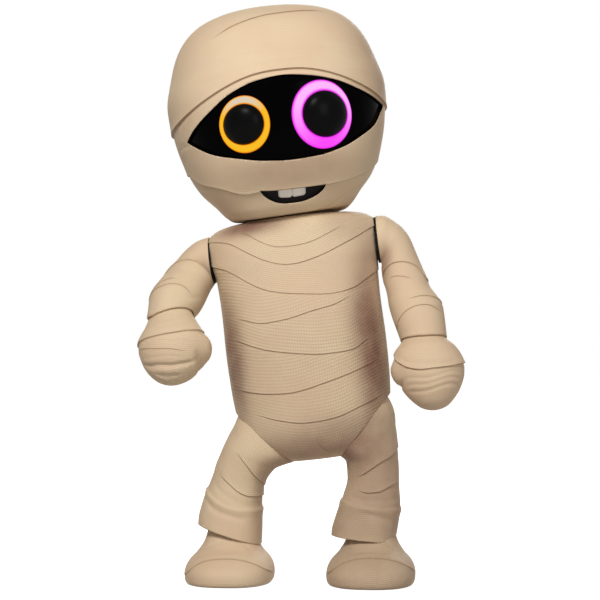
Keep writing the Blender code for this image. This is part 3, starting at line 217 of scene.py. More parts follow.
def joint_origin(name: str) -> Array:
    """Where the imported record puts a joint.

    Args:
        name: The joint's name.

    Returns:
        Its place in metres.

    Raises:
        KeyError: The record has no such joint.
    """
    for joint in frame["joints"]:
        if joint["name"] == name:
            return np.array(joint["pos_m"], float)
    raise KeyError(name)


def leg_place(side: Side) -> Place:
    """A leg's frame at its hip pin, its Z along the line up from the ankle pin.

    Args:
        side: The figure's own side.

    Returns:
        The frame.
    """
    hip = joint_origin("hip_sway" if side is Side.RIGHT else "left_hip_sway")
    up = hip - joint_origin(side.label + "_ankle_turn")
    return Place(hip, about_y(math.atan2(up[0], up[2])))


TORSO = Place(joint_origin("head_turn"), about_y(-TORSO_LEAN))
HEAD = TORSO.turned(about_z(HEAD_TURN))
ARM_PLACES = {side: Place(joint_origin(side.label + "_arm_swing"), TORSO.axes) for side in Side}
LEG_PLACES = {side: leg_place(side) for side in Side}
FOOT_PLACES = {side: Place(joint_origin(side.label + "_ankle_turn"), np.eye(3)) for side in Side}


def eased(knots: Knots, angle: Array, ease: float) -> Array:
    """Heights round the body, through knots that repeat every full turn, averaged under a bell curve.

    Args:
        knots: Angle in degrees and height, from -180 to 180.
        angle: Angles to read.
        ease: The bell's spread in degrees.

    Returns:
        The heights.
    """
    knots = np.array(sorted(knots), float)
    knots = np.concatenate([knots + (shift, 0) for shift in (-WHOLE_TURN, 0, WHOLE_TURN)])
    turn = np.arange(-240.0, 331.0)
    window = np.arange(-20, 21)
    weight = np.exp(-0.5 * (window / ease) ** 2)
    fine = pchip(knots[:, 0], knots[:, 1], np.arange(-260.0, 351.0))
    return np.interp(angle, turn, np.convolve(fine, weight / weight.sum(), mode="valid"))


@dataclass(frozen=True)
class Lap:
    """The free edge of a wrapped band, which lies over the band below it.

    Args:
        knots: Angle round the body in degrees and height, from -180 to 180.
        lift: How far the edge stands proud.
        reach: How far above the edge the band is still lifted.
        span: Angles between which the edge shows; it fades beyond them.
        weave: Distance between the band's ribs and between its cross threads.
        fade: Half the angle over which the edge fades.
        ease: Spread, in degrees, over which its corners are rounded off.
    """

    knots: Knots
    lift: float = 1.6
    reach: float = 16.0
    span: tuple[float, float] = (-400.0, 400.0)
    weave: tuple[float, float] = (5.1, 3.9)
    fade: float = 12.0
    ease: float = 4.0

    def height(self, angle: Array) -> Array:
        """Height of the edge at angles round the body."""
        return eased(self.knots, angle, self.ease)

    def shown(self, angle: Array) -> Array:
        """How much of the edge shows: a smooth step up at the span's start, times one down at its end.

        Args:
            angle: Angles round the body, in degrees.

        Returns:
            Shares from 0 to 1.
        """
        low, high = self.span
        fade = self.fade
        return smooth(low - fade, low + fade, angle) * (1 - smooth(high - fade, high + fade, angle))


@dataclass(frozen=True)
class Fold:
    """A soft ridge, or a hollow if its rise is negative, along a curve.

    Args:
        knots: Angle round the body in degrees and height.
        rise: How far it stands out.
        width: Its half width.
        span: Angles between which it shows.
        above: Its half width on the upper side, where that differs.
        fade: Half the angle over which it fades.
        ease: Spread, in degrees, over which its corners are rounded off.
    """

    knots: Knots
    rise: float = 1.5
    width: float = 6.0
    span: tuple[float, float] = (-400.0, 400.0)
    above: float = 0.0
    fade: float = 14.0
    ease: float = 4.0
    height = Lap.height
    shown = Lap.shown

    def relief(self, angle: Array, along: Array) -> Array:
        """Rise * exp(-(gap / width)^2), where the fold shows.

        Args:
            angle: Angles round the body, in degrees.
            along: Heights on the body.

        Returns:
            Relief of the fold at places on the surface.
        """
        gap = along - self.height(angle)
        width = np.where(gap > 0, self.above or self.width, self.width)
        return self.rise * self.shown(angle) * np.exp(-(gap / width) ** 2)


@dataclass(frozen=True)
class Lump:
    """A rounded knob: its place, its half sizes in degrees and millimetres, and its rise."""

    place: tuple[float, float]
    size: tuple[float, float]
    rise: float

    def relief(self, angle: Array, along: Array) -> Array:
        """Rise * exp(-far^1.6), far being the sum of the squared shares of its half sizes."""
        far = ((angle - self.place[0]) / self.size[0]) ** 2 + ((along - self.place[1]) / self.size[1]) ** 2
        return self.rise * np.exp(-far ** 1.6)


@dataclass(frozen=True)
class Stain:
    """A soft patch of painted shade: its place, its half sizes in degrees and millimetres, and its strength."""

    place: tuple[float, float]
    size: tuple[float, float]
    share: float

    def tint(self, angle: Array, along: Array) -> Array:
        """Share * exp(-far^1.5), far being the squared share of its half sizes.

        Args:
            angle: Angles round the body, in degrees.
            along: Heights on the body.

        Returns:
            Strength of the painted shade there.
        """
        turn = (angle - self.place[0] + WHOLE_TURN / 2) % WHOLE_TURN - WHOLE_TURN / 2
        far = (turn / self.size[0]) ** 2 + ((along - self.place[1]) / self.size[1]) ** 2
        return self.share * np.exp(-far ** 1.5)


@dataclass(frozen=True)
class Wrap:
    """The wrapping of one surface.

    Args:
        laps: Its laps, from the outermost band down.
        folds: Its folds and lumps.
        weave: Distance between ribs and between cross threads below the last lap.
        stains: Its patches of painted shade.
    """

    laps: tuple[Lap, ...] = ()
    folds: tuple[Fold | Lump, ...] = ()
    weave: tuple[float, float] = (5.1, 3.9)
    stains: tuple[Stain, ...] = ()

    def tint(self, angle: Array, along: Array) -> Array:
        """How much painted shade the skin has: 1 less the product of what each patch leaves open.

        Args:
            angle: Angles round the body, in degrees.
            along: Heights on the body.

        Returns:
            Shares from 0 to 1.
        """
        open_share = np.ones_like(along)
        for stain in self.stains:
            open_share = open_share * (1 - stain.tint(angle, along))
        return 1 - open_share

    def rows(self, angle: Array, top: float | Array, bottom: float | Array, pitch: float) -> Array:
        """Heights of grid rows that follow the laps, shape (rows, columns).

        Args:
            angle: Angles of the columns.
            top: Highest height, a number or one for each column.
            bottom: Lowest height.
            pitch: Distance between rows, about.

        Returns:
            The heights, from the top down.
        """
        ones = np.ones_like(angle)
        levels = [top * ones]
        for lap in self.laps:
            levels.append(np.minimum(lap.height(angle), levels[-1] - LAP_GAP))
        levels.append(bottom * ones)
        rows = []
        for index, (upper, lower) in enumerate(zip(levels, levels[1:])):
            upper = upper - (0.6 if index else 0.0)
            count = max(3, int(np.ceil(np.mean(upper - lower) / pitch)))
            share = np.linspace(0, 1, count)
            if 0 < index:
                share = np.insert(share, 1, 0.3 * share[1])
            if index < len(levels) - 2:
                share = np.insert(share, -1, 1 - 0.35 * (1 - share[-2]))
            rows.extend(upper + (lower + (0.01 if index < len(levels) - 2 else 0.0) - upper) * part for part in share)
        return np.array(rows)

    def relief(self, angle: Array, along: Array, step: Array) -> tuple[Array, Array, Array, list[Array]]:
        """Relief of the surface.

        Above an edge it is lift * exp(-gap / reach), and just below one it dips by 0.35 * lift * exp(-gap / 3).

        Args:
            angle: Angles round the body, in degrees, shape (rows, columns).
            along: Heights on the body.
            step: Distance between neighbouring columns.

        Returns:
            Relief, signed distance to the nearest lap and how much of that lap shows, and the height of each lap
            at each vertex.
        """
        relief = np.zeros_like(along)
        nearest = np.full_like(along, FAR)
        show = np.zeros_like(along)
        heights = []
        open_yet = np.ones(along.shape, bool)
        above = np.full(along.shape, 1e3)
        above_lift = np.zeros_like(along)
        above_show = np.zeros_like(along)
        ceiling = np.full(along.shape, 1e3)
        for lap in self.laps:
            height = np.minimum(lap.height(angle), ceiling - LAP_GAP)
            ceiling = height
            heights.append(height)
            slope = np.gradient(height, axis=1) / np.maximum(step, 0.2)
            gap = (along - height) / np.sqrt(1 + slope ** 2)
            shown = lap.shown(angle)
            here = open_yet & (gap >= 0)
            lift = lap.lift * shown
            relief += np.where(here, lift * np.exp(-np.maximum(gap, 0) / lap.reach), 0)
            nearest = np.where(here, np.where(gap < above, gap, -above), nearest)
            show = np.where(here, np.where(gap < above, shown, above_show), show)
            open_yet &= ~here
            closer = open_yet & (-gap < above)
            above_lift = np.where(closer, lift, above_lift)
            above_show = np.where(closer, shown, above_show)
            above = np.where(closer, -gap, above)
        nearest = np.where(open_yet, -above, nearest)
        show = np.where(open_yet, above_show, show)
        relief -= np.where(nearest < 0, 0.35 * above_lift * np.exp(np.minimum(nearest, 0) / 3.0), 0)
        for fold in self.folds:
            relief += fold.relief(angle, along)
        return relief, np.clip(nearest, -FAR, FAR), show, heights


@dataclass
class Sheet:
    """A grid of points with what the gauze material needs to know at each of them.

    Rows run down the body and columns towards its own left, as seen from its front.

    Args:
        points: Shape (rows, columns, 3), in the body's frame.
        angle: Angle round the body, in degrees.
        along: Height on the body, for the laps.
        wrap: The wrapping that its relief comes from.
        closed: Whether the last column is the first one again.
        caps: Ends closed by one face.
        places: What UV map `wrap` holds instead of the place on the band, shape (rows, columns, 2).
    """

    points: Array
    angle: Array
    along: Array
    wrap: Wrap = field(default_factory=Wrap)
    closed: bool = False
    caps: tuple[End, ...] = ()
    places: Array | None = None

    def normals(self) -> Array:
        """Outward normals: the cross product of the grid's steps down and across, at length 1.

        Returns:
            Shape (rows, columns, 3).
        """
        if self.closed:
            ring = np.concatenate([self.points[:, -2:-1], self.points, self.points[:, 1:2]], axis=1)
            across = ring[:, 2:] - ring[:, :-2]
        else:
            across = np.gradient(self.points, axis=1)
        down = np.gradient(self.points, axis=0)
        normal = np.cross(down, across)
        length = np.linalg.norm(normal, axis=2, keepdims=True)
        return normal / np.maximum(length, 1e-9)

    def inner(self, wall: float) -> Array:
        """The points of the wall's inner side, in one list."""
        points = self.points - self.normals() * wall
        return (points[:, :-1] if self.closed else points).reshape(-1, 3)

    def made(self) -> tuple[Array, Array, tuple[Array, Array, Array], list[Array], list[Array]]:
        """The sheet as mesh data.

        The points move along their normals by the relief. UV map `wrap` counts cross threads round the body and ribs
        from the nearest lap above, `edge` holds the distance to the nearest lap and how much of it shows, and
        `tint` holds the share of painted shade.

        Returns:
            The displaced points, the faces, the UV values of their corners, the open borders and the capped ends.
        """
        step = np.linalg.norm(np.diff(self.points, axis=1), axis=2)
        stride = np.concatenate([step, step[:, -1:]], axis=1)
        relief, nearest, show, heights = self.wrap.relief(self.angle, self.along, stride)
        points = self.points + self.normals() * relief[:, :, None]
        rows, columns = self.angle.shape
        own = columns - 1 if self.closed else columns
        index = np.arange(rows * columns).reshape(rows, columns)
        number = np.arange(rows * own).reshape(rows, own)
        if self.closed:
            number = np.concatenate([number, number[:, :1]], axis=1)
            points = points[:, :-1]

        def cells(grid: Array) -> Array:
            """The four corners of every cell of a grid of numbers."""
            corners = [grid[:-1, :-1], grid[1:, :-1], grid[1:, 1:], grid[:-1, 1:]]
            return np.stack(corners, axis=-1).reshape(-1, 4)

        read = cells(index)
        round_way = np.concatenate([np.zeros((rows, 1)), np.cumsum(step, axis=1)], axis=1)
        middle = np.argmin(np.abs(self.angle - self.angle.mean(axis=1, keepdims=True)), axis=1)
        round_way -= round_way[np.arange(rows), middle][:, None]
        across = self.along.ravel()[read]
        weave = np.broadcast_to(self.wrap.weave, (len(read), 2))
        if heights:
            stack = np.stack([height.ravel() for height in heights])[:, read]
            centre = across.mean(axis=1)
            over = centre[None] > stack.mean(axis=2)
            band = np.where(over.any(axis=0), np.argmax(over, axis=0), len(heights) - 1)
            across = across - stack[band, np.arange(len(read))]
            own_weave = np.array([lap.weave for lap in self.wrap.laps])[band]
            weave = np.where(over.any(axis=0)[:, None], own_weave, weave)
        wrap_uv = np.stack([round_way.ravel()[read] / weave[:, 1:], across / weave[:, :1]], axis=-1)
        if self.places is not None:
            wrap_uv = self.places.reshape(-1, 2)[read]
        gap = nearest.ravel()[read]
        turned = (gap.min(axis=1) < -3.0) & (gap.max(axis=1) > 3.0)
        gap[turned] = FAR
        edge_uv = np.stack([gap, show.ravel()[read]], axis=-1)
        # Share of painted shade at each vertex, from the patches.
        tint = self.wrap.tint(self.angle, self.along).ravel()[read]
        painted_shade_uv = np.stack([tint, tint], axis=-1)
        borders = [] if self.caps else [number[0], number[-1, ::-1]]
        if not self.closed:
            borders += [number[:, -1], number[::-1, 0]]
        ends = {End.FIRST: number[0, :own], End.LAST: number[-1, :own][::-1]}
        maps = (wrap_uv, edge_uv, painted_shade_uv)
        return points.reshape(-1, 3), cells(number), maps, borders, [ends[end] for end in self.caps]


def dress(piece: Piece, body: str, slot: str, *nodes: str) -> Piece:
    """Rides a piece on its body, puts it in the place of CAD nodes and reports it.

    Args:
        piece: The piece.
        body: Name of its body.
        slot: Its material slot in the record; not used.
        nodes: The CAD nodes that it replaces.

    Returns:
        The piece.
    """
    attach(piece, body)
    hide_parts(*nodes)
    LOG.info("%s: %d faces on %s", piece.name, len(piece.data.polygons), body)
    return piece


def new_object(name: str, points: Any, faces: Sequence[Sequence[int]]) -> Piece:
    """A mesh object, kept out of any body so far.

    Args:
        name: Its name.
        points: Its points in metres.
        faces: Its faces, as numbers of points.

    Returns:
        The object.
    """
    mesh = bpy.data.meshes.new(name)
    mesh.from_pydata(np.asarray(points).tolist(), [], faces)
    made = bpy.data.objects.new(name, mesh)
    bpy.context.scene.collection.objects.link(made)
    return made


def build(name: str, sheets: Sequence[Sheet], place: Place, material: bpy.types.Material,
          wall: float | None = None) -> Piece:
    """One object from sheets.

    Args:
        name: Name of the object.
        sheets: The sheets it is made of.
        place: The frame that the sheets are given in.
        material: Its material.
        wall: Thickness of a closed wall behind each sheet, or None for a bare sheet.

    Returns:
        The object, with UV maps `wrap`, `edge` and `tint`, the last holding its share of painted shade.
    """
    points, faces, caps = [], [], []
    labels = {"wrap": 0.0, "edge": FAR, "tint": 0.0}
    uvs = {label: [] for label in labels}
    count = 0
    for sheet in sheets:
        at, cells, maps, borders, ends = sheet.made()
        points.append(at)
        faces.append(cells + count)
        for label, values in zip(labels, maps):
            uvs[label].append(values)
        size = len(at)
        caps.extend((end + count).tolist() for end in ends)
        if wall is not None:
            points.append(sheet.inner(wall))
            faces.append(cells[:, ::-1] + count + size)
            rim = np.concatenate([np.stack([line[:-1], line[1:]], axis=1) for line in borders])
            rim = np.stack([rim[:, 0], rim[:, 1], rim[:, 1] + size, rim[:, 0] + size], axis=1)
            faces.append(rim + count)
            for (label, rest), values in zip(labels.items(), maps):
                uvs[label] += [np.full_like(values, rest), np.full((len(rim), 4, 2), rest)]
            count += size
        count += size
    points = place.world(np.concatenate(points))
    quads = np.concatenate(faces)
    made = new_object(name, points, quads.tolist() + caps)
    corners = sum(len(cap) for cap in caps)
    for label, rest in labels.items():
        values = np.concatenate([np.concatenate(uvs[label]).reshape(-1), np.full(2 * corners, rest)])
        made.data.uv_layers.new(name=label).data.foreach_set("uv", values.astype(np.float32))
    made.data.shade_smooth()
    made.data.materials.append(material)
    return made


def box_points(low: Sequence[float], high: Sequence[float]) -> Solid:
    """A box, in millimetres.

    Args:
        low: Its lowest corner.
        high: Its highest corner.

    Returns:
        Its corners and faces.
    """
    (x0, y0, z0), (x1, y1, z1) = low, high
    points = [(x0, y0, z0), (x1, y0, z0), (x1, y1, z0), (x0, y1, z0),
              (x0, y0, z1), (x1, y0, z1), (x1, y1, z1), (x0, y1, z1)]
    faces = [(3, 2, 1, 0), (4, 5, 6, 7), (0, 1, 5, 4), (1, 2, 6, 5), (2, 3, 7, 6), (3, 0, 4, 7)]
    return points, faces


def column(outline: Knots, start: float, end: float, axis: Axis = Axis.Y) -> Solid:
    """A prism.

    Args:
        outline: Its outline in X and Z, or in Y and Z for a prism along X.
        start: Where it begins on its axis.
        end: Where it ends.
        axis: The way it is drawn along.

    Returns:
        Its points and faces.
    """
    count = len(outline)
    points = [(x, start, z) for x, z in outline] + [(x, end, z) for x, z in outline]
    if axis is Axis.X:
        points = [(y, x, z) for x, y, z in points]
    faces = [tuple(range(count))[::-1], tuple(range(count, 2 * count))]
    faces += [(i, (i + 1) % count, (i + 1) % count + count, i + count) for i in range(count)]
    return points, faces


def ring_outline(x: float, z: float, radius: float, count: int = 28) -> list[tuple[float, float]]:
    """Outline of a circle in X and Z: its centre plus its radius times cosine and sine."""
    turn = np.linspace(0, 2 * math.pi, count, endpoint=False)
    return [(x + radius * math.cos(a), z + radius * math.sin(a)) for a in turn]


def cut(target: Piece, solids: Sequence[Solid], place: Place, keep: Keep = Keep.OUTSIDE) -> None:
    """Takes closed solids out of an object, or keeps what is inside them.

    Args:
        target: The object.
        solids: Points and faces of each solid.
        place: The frame that they are given in.
        keep: What is left of the object.
    """
    cutters = []
    for index, (points, faces) in enumerate(solids):
        mesh = bpy.data.meshes.new(f"cutter_{index}")
        mesh.from_pydata(place.world(points).tolist(), [], faces)
        cutter = bpy.data.objects.new(f"cutter_{index}", mesh)
        bpy.context.scene.collection.objects.link(cutter)
        turn_outwards(cutter)
        cutters.append(cutter)
    group = bpy.data.collections.new("cutters")
    for cutter in cutters:
        group.objects.link(cutter)
    modifier = target.modifiers.new("openings", "BOOLEAN")
    modifier.operation = keep.value
    modifier.solver = "MANIFOLD"
    modifier.operand_type = "COLLECTION"
    modifier.collection = group
    bpy.context.view_layer.update()
    graph = bpy.context.evaluated_depsgraph_get()
    mesh = bpy.data.meshes.new_from_object(target.evaluated_get(graph), depsgraph=graph)
    target.modifiers.clear()
    old = target.data
    target.data = mesh
    bpy.data.meshes.remove(old)
    for cutter in cutters:
        bpy.data.objects.remove(cutter)
    bpy.data.collections.remove(group)


def turn_outwards(target: Piece) -> None:
    """Makes a closed mesh's faces look outwards.

    Args:
        target: The object whose mesh it is.
    """
    work = bmesh.new()
    work.from_mesh(target.data)
    bmesh.ops.recalc_face_normals(work, faces=work.faces)
    work.to_mesh(target.data)
    work.free()


def profile(rows: Sequence[Sequence[float]], count: int) -> Array:
    """Rows of a shell at even steps along its outline, smoothly through the given ones.

    Args:
        rows: Height, half width and half depth of each given section.
        count: Number of rows to make.

    Returns:
        The rows, shape (count, 3).
    """
    rows = np.asarray(rows, float)
    way = np.concatenate([[0], np.cumsum(np.linalg.norm(np.diff(rows, axis=0), axis=1))])
    return pchip(way, rows, np.linspace(0, way[-1], count))


def super_point(angle: Array, power: float | Array) -> tuple[Array, Array]:
    """Lateral and forward shares of a rounded-square section: sine and cosine to the power 2/power, signs kept.

    Args:
        angle: Angles in degrees; 0 is the front.
        power: Power of the section.

    Returns:
        The two shares.
    """
    turn = np.radians(angle)
    s, c = np.sin(turn), np.cos(turn)
    return np.sign(s) * np.abs(s) ** (2 / power), np.sign(c) * np.abs(c) ** (2 / power)


def even_angles(power: float, low: float, high: float, count: int, squash: float = 1.0) -> Array:
    """Angles at even steps along a rounded-square section.

    Args:
        power: Power of the section.
        low: First angle, in degrees.
        high: Last angle.
        count: Number of angles.
        squash: How much deeper than wide the section is.

    Returns:
        The angles.
    """
    dense = np.linspace(low, high, 2001)
    x, y = super_point(dense, power)
    way = np.concatenate([[0], np.cumsum(np.hypot(np.diff(x), squash * np.diff(y)))])
    return np.interp(np.linspace(0, way[-1], count), way, dense)


SEAM = 0.15  # half the gap between the front and the back of a shell


class Shell:
    """A hollow body of rounded-square sections, measured along its outline from the lowest point up.

    A section is x = width * sin(angle)^(2/power), y = -depth * cos(angle)^(2/power), signs kept.

    Args:
        rows: Height, half width and half depth of each section, from the top.
        power: Power of the rounded square.
        flat: The body is flat beyond this lateral place.
        chin: Angle, spread and drop of each place where the lower edge hangs.
        front_power: Power of the front half, where that differs.
    """

    def __init__(self, rows: Sequence[Sequence[float]], power: float, flat: float = 1e3,
                 chin: Sequence[tuple[float, float, float]] = (), front_power: float | None = None) -> None:
        """Reads the sections at even steps along the outline."""
        self.chin = chin
        self.front_power = front_power or power
        dense = profile(rows, 1200)[::-1]
        self.z, self.width, self.depth = dense.T
        self.power = power
        self.flat = flat
        reach = (self.width + self.depth) / 2
        self.way = np.concatenate([[0], np.cumsum(np.hypot(np.diff(self.z), np.diff(reach)))])

    def inset(self, amount: float) -> "Shell":
        """The same body a little smaller, moved in along its outline's normals.

        Args:
            amount: How far it moves in.

        Returns:
            The smaller body.
        """
        made = Shell.__new__(Shell)
        dz = np.gradient(self.z)
        turned = []
        for half in (self.width, self.depth):
            run = np.gradient(half)
            length = np.hypot(dz, run)
            turned.append((half - amount * dz / length, amount * run / length))
        made.width, made.depth = (np.maximum(half, 0.5) for half, _ in turned)
        made.z = np.maximum.accumulate(self.z + (turned[0][1] + turned[1][1]) / 2)
        made.power, made.flat, made.way, made.chin = self.power, self.flat - amount, self.way, self.chin
        made.front_power = self.front_power
        return made

    def along(self, z: float | Array) -> Array:
        """Way along the outline at a height."""
        return np.interp(z, self.z, self.way)

    def points(self, angle: Array, along: Array) -> Array:
        """Points of the surface; each chin place drops its heights by drop * exp(-((angle - place) / spread)^2).

        Args:
            angle: Angles round the body, in degrees.
            along: Ways along the outline.

        Returns:
            The points, in the body's frame.
        """
        lateral, forward = super_point(angle, np.where(np.cos(np.radians(angle)) > 0, self.front_power, self.power))
        x = lateral * np.interp(along, self.way, self.width)
        y = -forward * np.interp(along, self.way, self.depth)
        z = np.interp(along, self.way, self.z)
        reach = (1 - smooth(5, 60, z)) * smooth(40, 72, np.interp(along, self.way, self.width))
        for place, spread, drop in self.chin:
            z = z - drop * reach * np.exp(-((angle - place) / spread) ** 2)
        return np.stack([np.clip(x, -self.flat, self.flat), y, z], axis=-1)

    def front(self, x: float | Array, z: float | Array) -> Array:
        """How far the surface stands out from the middle plane: depth * (1 - share^power)^(1/power)."""
        share = np.clip(np.abs(x) / np.interp(z, self.z, self.width), 0, 1)
        return np.interp(z, self.z, self.depth) * (1 - share ** self.power) ** (1 / self.power)

    def angle(self, x: float | Array, z: float | Array) -> Array:
        """Angle of a point of the front, in degrees: the arc sine of share^(power/2)."""
        share = np.clip(np.abs(np.asarray(x, float)) / np.interp(z, self.z, self.width), 0, 1)
        return np.degrees(np.arcsin(share ** (self.power / 2))) * np.sign(x)

    def line(self, front: Knots, back: Knots = ()) -> Knots:
        """Knots of a lap from lateral places and heights in front, and angles and heights behind."""
        places = [(float(self.angle(x, z)), float(self.along(z))) for x, z in front]
        return tuple(places + [(float(angle), float(self.along(z))) for angle, z in back])

    def turn_line(self, places: Knots) -> Knots:
        """Knots of a lap from angles and heights."""
        return tuple((float(angle), float(self.along(z))) for angle, z in places)

    def stains(self, *rows: tuple[float, float, float, float, float]) -> tuple[Stain, ...]:
        """Patches of painted shade from the angle, the height, the two half sizes and the strength of each."""
        return tuple(Stain((turn, float(self.along(z))), size, share) for turn, z, *size, share in rows)

    def half(self, wrap: Wrap, half: Half, pitch: float) -> Sheet:
        """The front or the back half.

        Args:
            wrap: The body's wrapping.
            half: Which half.
            pitch: Distance between the grid's rows, about.

        Returns:
            Its outside.
        """
        low, high = half.value
        count = int(np.ceil(np.pi * 0.55 * (self.width.max() + self.depth.max()) / pitch))
        angle = even_angles(self.power, low, high, count, self.depth.max() / self.width.max())
        along = wrap.rows(angle, self.way[-1], self.way[0], pitch)
        angle = np.broadcast_to(angle, along.shape)
        points = self.points(angle, along)
        points[..., 1] += -SEAM if half is Half.FRONT else SEAM
        return Sheet(points, angle, along, wrap)


TORSO_SHELL = Shell(TORSO_ROWS, TORSO_POWER, SHOULDER_FLAT, front_power=TORSO_FRONT_POWER)
HEAD_SHELL = Shell(HEAD_ROWS, HEAD_POWER, chin=CHIN)

TORSO_WRAP = Wrap(
    laps=(
        Lap(TORSO_SHELL.turn_line((
            (-60, -12), (-29, -17), (-15, -37), (-4, -46), (8, -45), (32, -27), (60, -13), (120, -12), (180, -20),
            (-120, -12))), lift=1.0, reach=20.0, span=(-32, 34), weave=(3.1, 3.0), fade=9.0),
        Lap(TORSO_SHELL.turn_line((
            (-75, -23), (-44, -28), (-26, -50), (-11, -68), (0, -74), (16, -67), (40, -48), (75, -28), (110, -30),
            (150, -50), (180, -58), (-150, -50), (-110, -32))), lift=1.2, reach=20.0, weave=(3.1, 3.0)),
        Lap(TORSO_SHELL.turn_line((
            (-90, -58), (-54, -67), (-36, -88), (-20, -107), (-1, -118), (25, -125), (44, -120), (61, -106),
            (90, -95), (130, -104), (180, -116), (-130, -98))), lift=1.3, reach=22.0, weave=(3.3, 3.1)),
        Lap(TORSO_SHELL.turn_line((
            (-70, -143), (-39, -150), (-26, -158), (-7, -156), (8, -148), (28, -141), (40, -131), (70, -122),
            (110, -130), (180, -152), (-110, -146))), lift=1.3, reach=20.0, span=(-44, 36), fade=9.0),
        Lap(TORSO_SHELL.turn_line((
            (-85, -170), (-49, -181), (-25, -198), (-5, -208), (14, -215), (36, -214), (48, -203), (80, -185),
            (130, -182), (180, -197), (-130, -188))), lift=1.5, reach=22.0, span=(-49, 50), fade=9.0),
        Lap(TORSO_SHELL.turn_line((
            (-85, -250), (-50, -258), (-30, -265), (-9, -268), (7, -261), (29, -250), (50, -239), (85, -228),
            (130, -236), (180, -252), (-130, -256))), lift=1.5, reach=24.0, span=(-54, 56), fade=9.0),
        Lap(TORSO_SHELL.turn_line((
            (-75, -284), (-45, -294), (-23, -307), (-2, -316), (15, -314), (40, -300), (75, -286), (120, -290),
            (180, -302), (-120, -284))), lift=1.2, reach=20.0, span=(-34, 60), fade=9.0),
    ),
    folds=(
        Fold(TORSO_SHELL.line(((-2, -325), (4, -334), (10, -352), (18, -362), (28, -367))), -2.0, 2.0, (2, 13),
             fade=2.5, ease=1.0),
    ),
    # Painted shade on the flanks, the sides, the underside of the hips, lightly over the belly, under the chin on the
    # collar and near the shoulder.
    stains=TORSO_SHELL.stains(
        (56, -205, 19, 112, 0.86),
        (-62, -205, 18, 90, 0.76),
        (115, -190, 16, 120, 0.4),
        (-115, -190, 16, 120, 0.4),
        (30, -345, 56, 42, 0.44),
        (-20, -360, 54, 30, 0.36),
        (66, -304, 24, 44, 0.42),
        (0, -220, 80, 90, 0.13),
        (-30, -7, 30, 20, 0.86),
        (20, 2, 60, 14, 0.5),
        (62, -66, 14, 30, 0.15),
        (44, -18, 24, 30, 0.25),
    ),
)

# Distances between the head's ribs and cross threads.
CLOSE = (3.0, 1.8)
HEAD_WRAP = Wrap(
    weave=CLOSE,
    laps=(
        Lap(HEAD_SHELL.line(
            ((-93, 279), (-60, 294), (-28, 302), (-5, 306), (43, 307), (86, 303), (111, 294)),
            ((80, 288), (120, 280), (180, 276), (-120, 268), (-80, 268))), lift=1.0, span=(-34, 34), weave=CLOSE,
            fade=10.0),
        Lap(HEAD_SHELL.line(
            ((-166, 154), (-157, 161), (-140, 172), (-118, 184), (-94, 195), (-68, 205), (-42, 212), (-7, 215),
             (28, 214), (60, 207), (89, 197), (113, 186), (134, 175), (148, 166), (160, 157)),
            ((110, 150), (150, 158), (180, 166), (-150, 160), (-110, 150))), lift=3.0, reach=14.0, weave=CLOSE),
        Lap(HEAD_SHELL.line(
            ((-141, 73), (-105, 53), (-69, 39), (-51, 41), (-24, 38), (19, 38), (51, 40), (82, 44), (129, 61)),
            ((80, 72), (120, 84), (180, 78), (-120, 88), (-80, 84))), lift=2.0, reach=12.0, weave=CLOSE),
    ),
    folds=(
        Fold(HEAD_SHELL.line(((-85, 244), (-46, 249), (25, 248), (78, 236), (123, 217))), 1.0, 5.0, (-38, 55)),
        Fold(HEAD_SHELL.line(((-96, 217), (-67, 228), (22, 231), (76, 220), (119, 206))), 1.2, 5.0, (-42, 52)),
        Fold(HEAD_SHELL.line(((41, 4), (69, 13), (99, 29), (125, 48))), -1.2, 2.6, (22, 66), above=6.0, fade=8.0),
        Fold(HEAD_SHELL.line(((-147, 123), (-161, 122), (-168, 116))), -1.0, 2.2, (-85, -60), above=5.0, fade=6.0),
    ),
    # Painted shade on the cheeks between the visor and the mouth, and on the forehead's left side.
    stains=HEAD_SHELL.stains(
        (-2, 66, 36, 28, 0.36),
        (62, 215, 22, 60, 0.12),
    ),
)


@dataclass(frozen=True, kw_only=True)
class Limb:
    """A wrapped skin of an arm or a leg; each kind makes a sheet of its own.

    Args:
        side: The figure's own side.
        wrap: Its wrapping.
        girth: Radius from which the number of the grid's columns is taken.
        pitch: Distance between the grid's rows, about.
        wall: Thickness of the skin, or None for a solid piece.
    """

    names: ClassVar[tuple[str, str, str]]  # of the piece, its body and its CAD node, less the side
    places: ClassVar[dict[Side, Place]]
    side: Side
    wrap: Wrap
    girth: float
    pitch: float = 2.0
    wall: float | None = 3.0

    @property
    def columns(self) -> int:
        """Number of the grid's columns."""
        return int(2 * np.pi * self.girth / self.pitch)

    def sheet(self) -> Sheet:
        """The limb's outside."""
        raise NotImplementedError

    def pieces(self, finishes: Materials) -> Pieces:
        """Builds and dresses the limb.

        Args:
            finishes: Every material by name.

        Returns:
            The made piece.
        """
        name, body, node = (f"{self.side.label}_{word}" for word in self.names)
        piece = build(f"{name}_wrap", [self.sheet()], self.places[self.side], finishes["gauze_limb"], self.wall)
        return [dress(piece, body, "skin", node)]


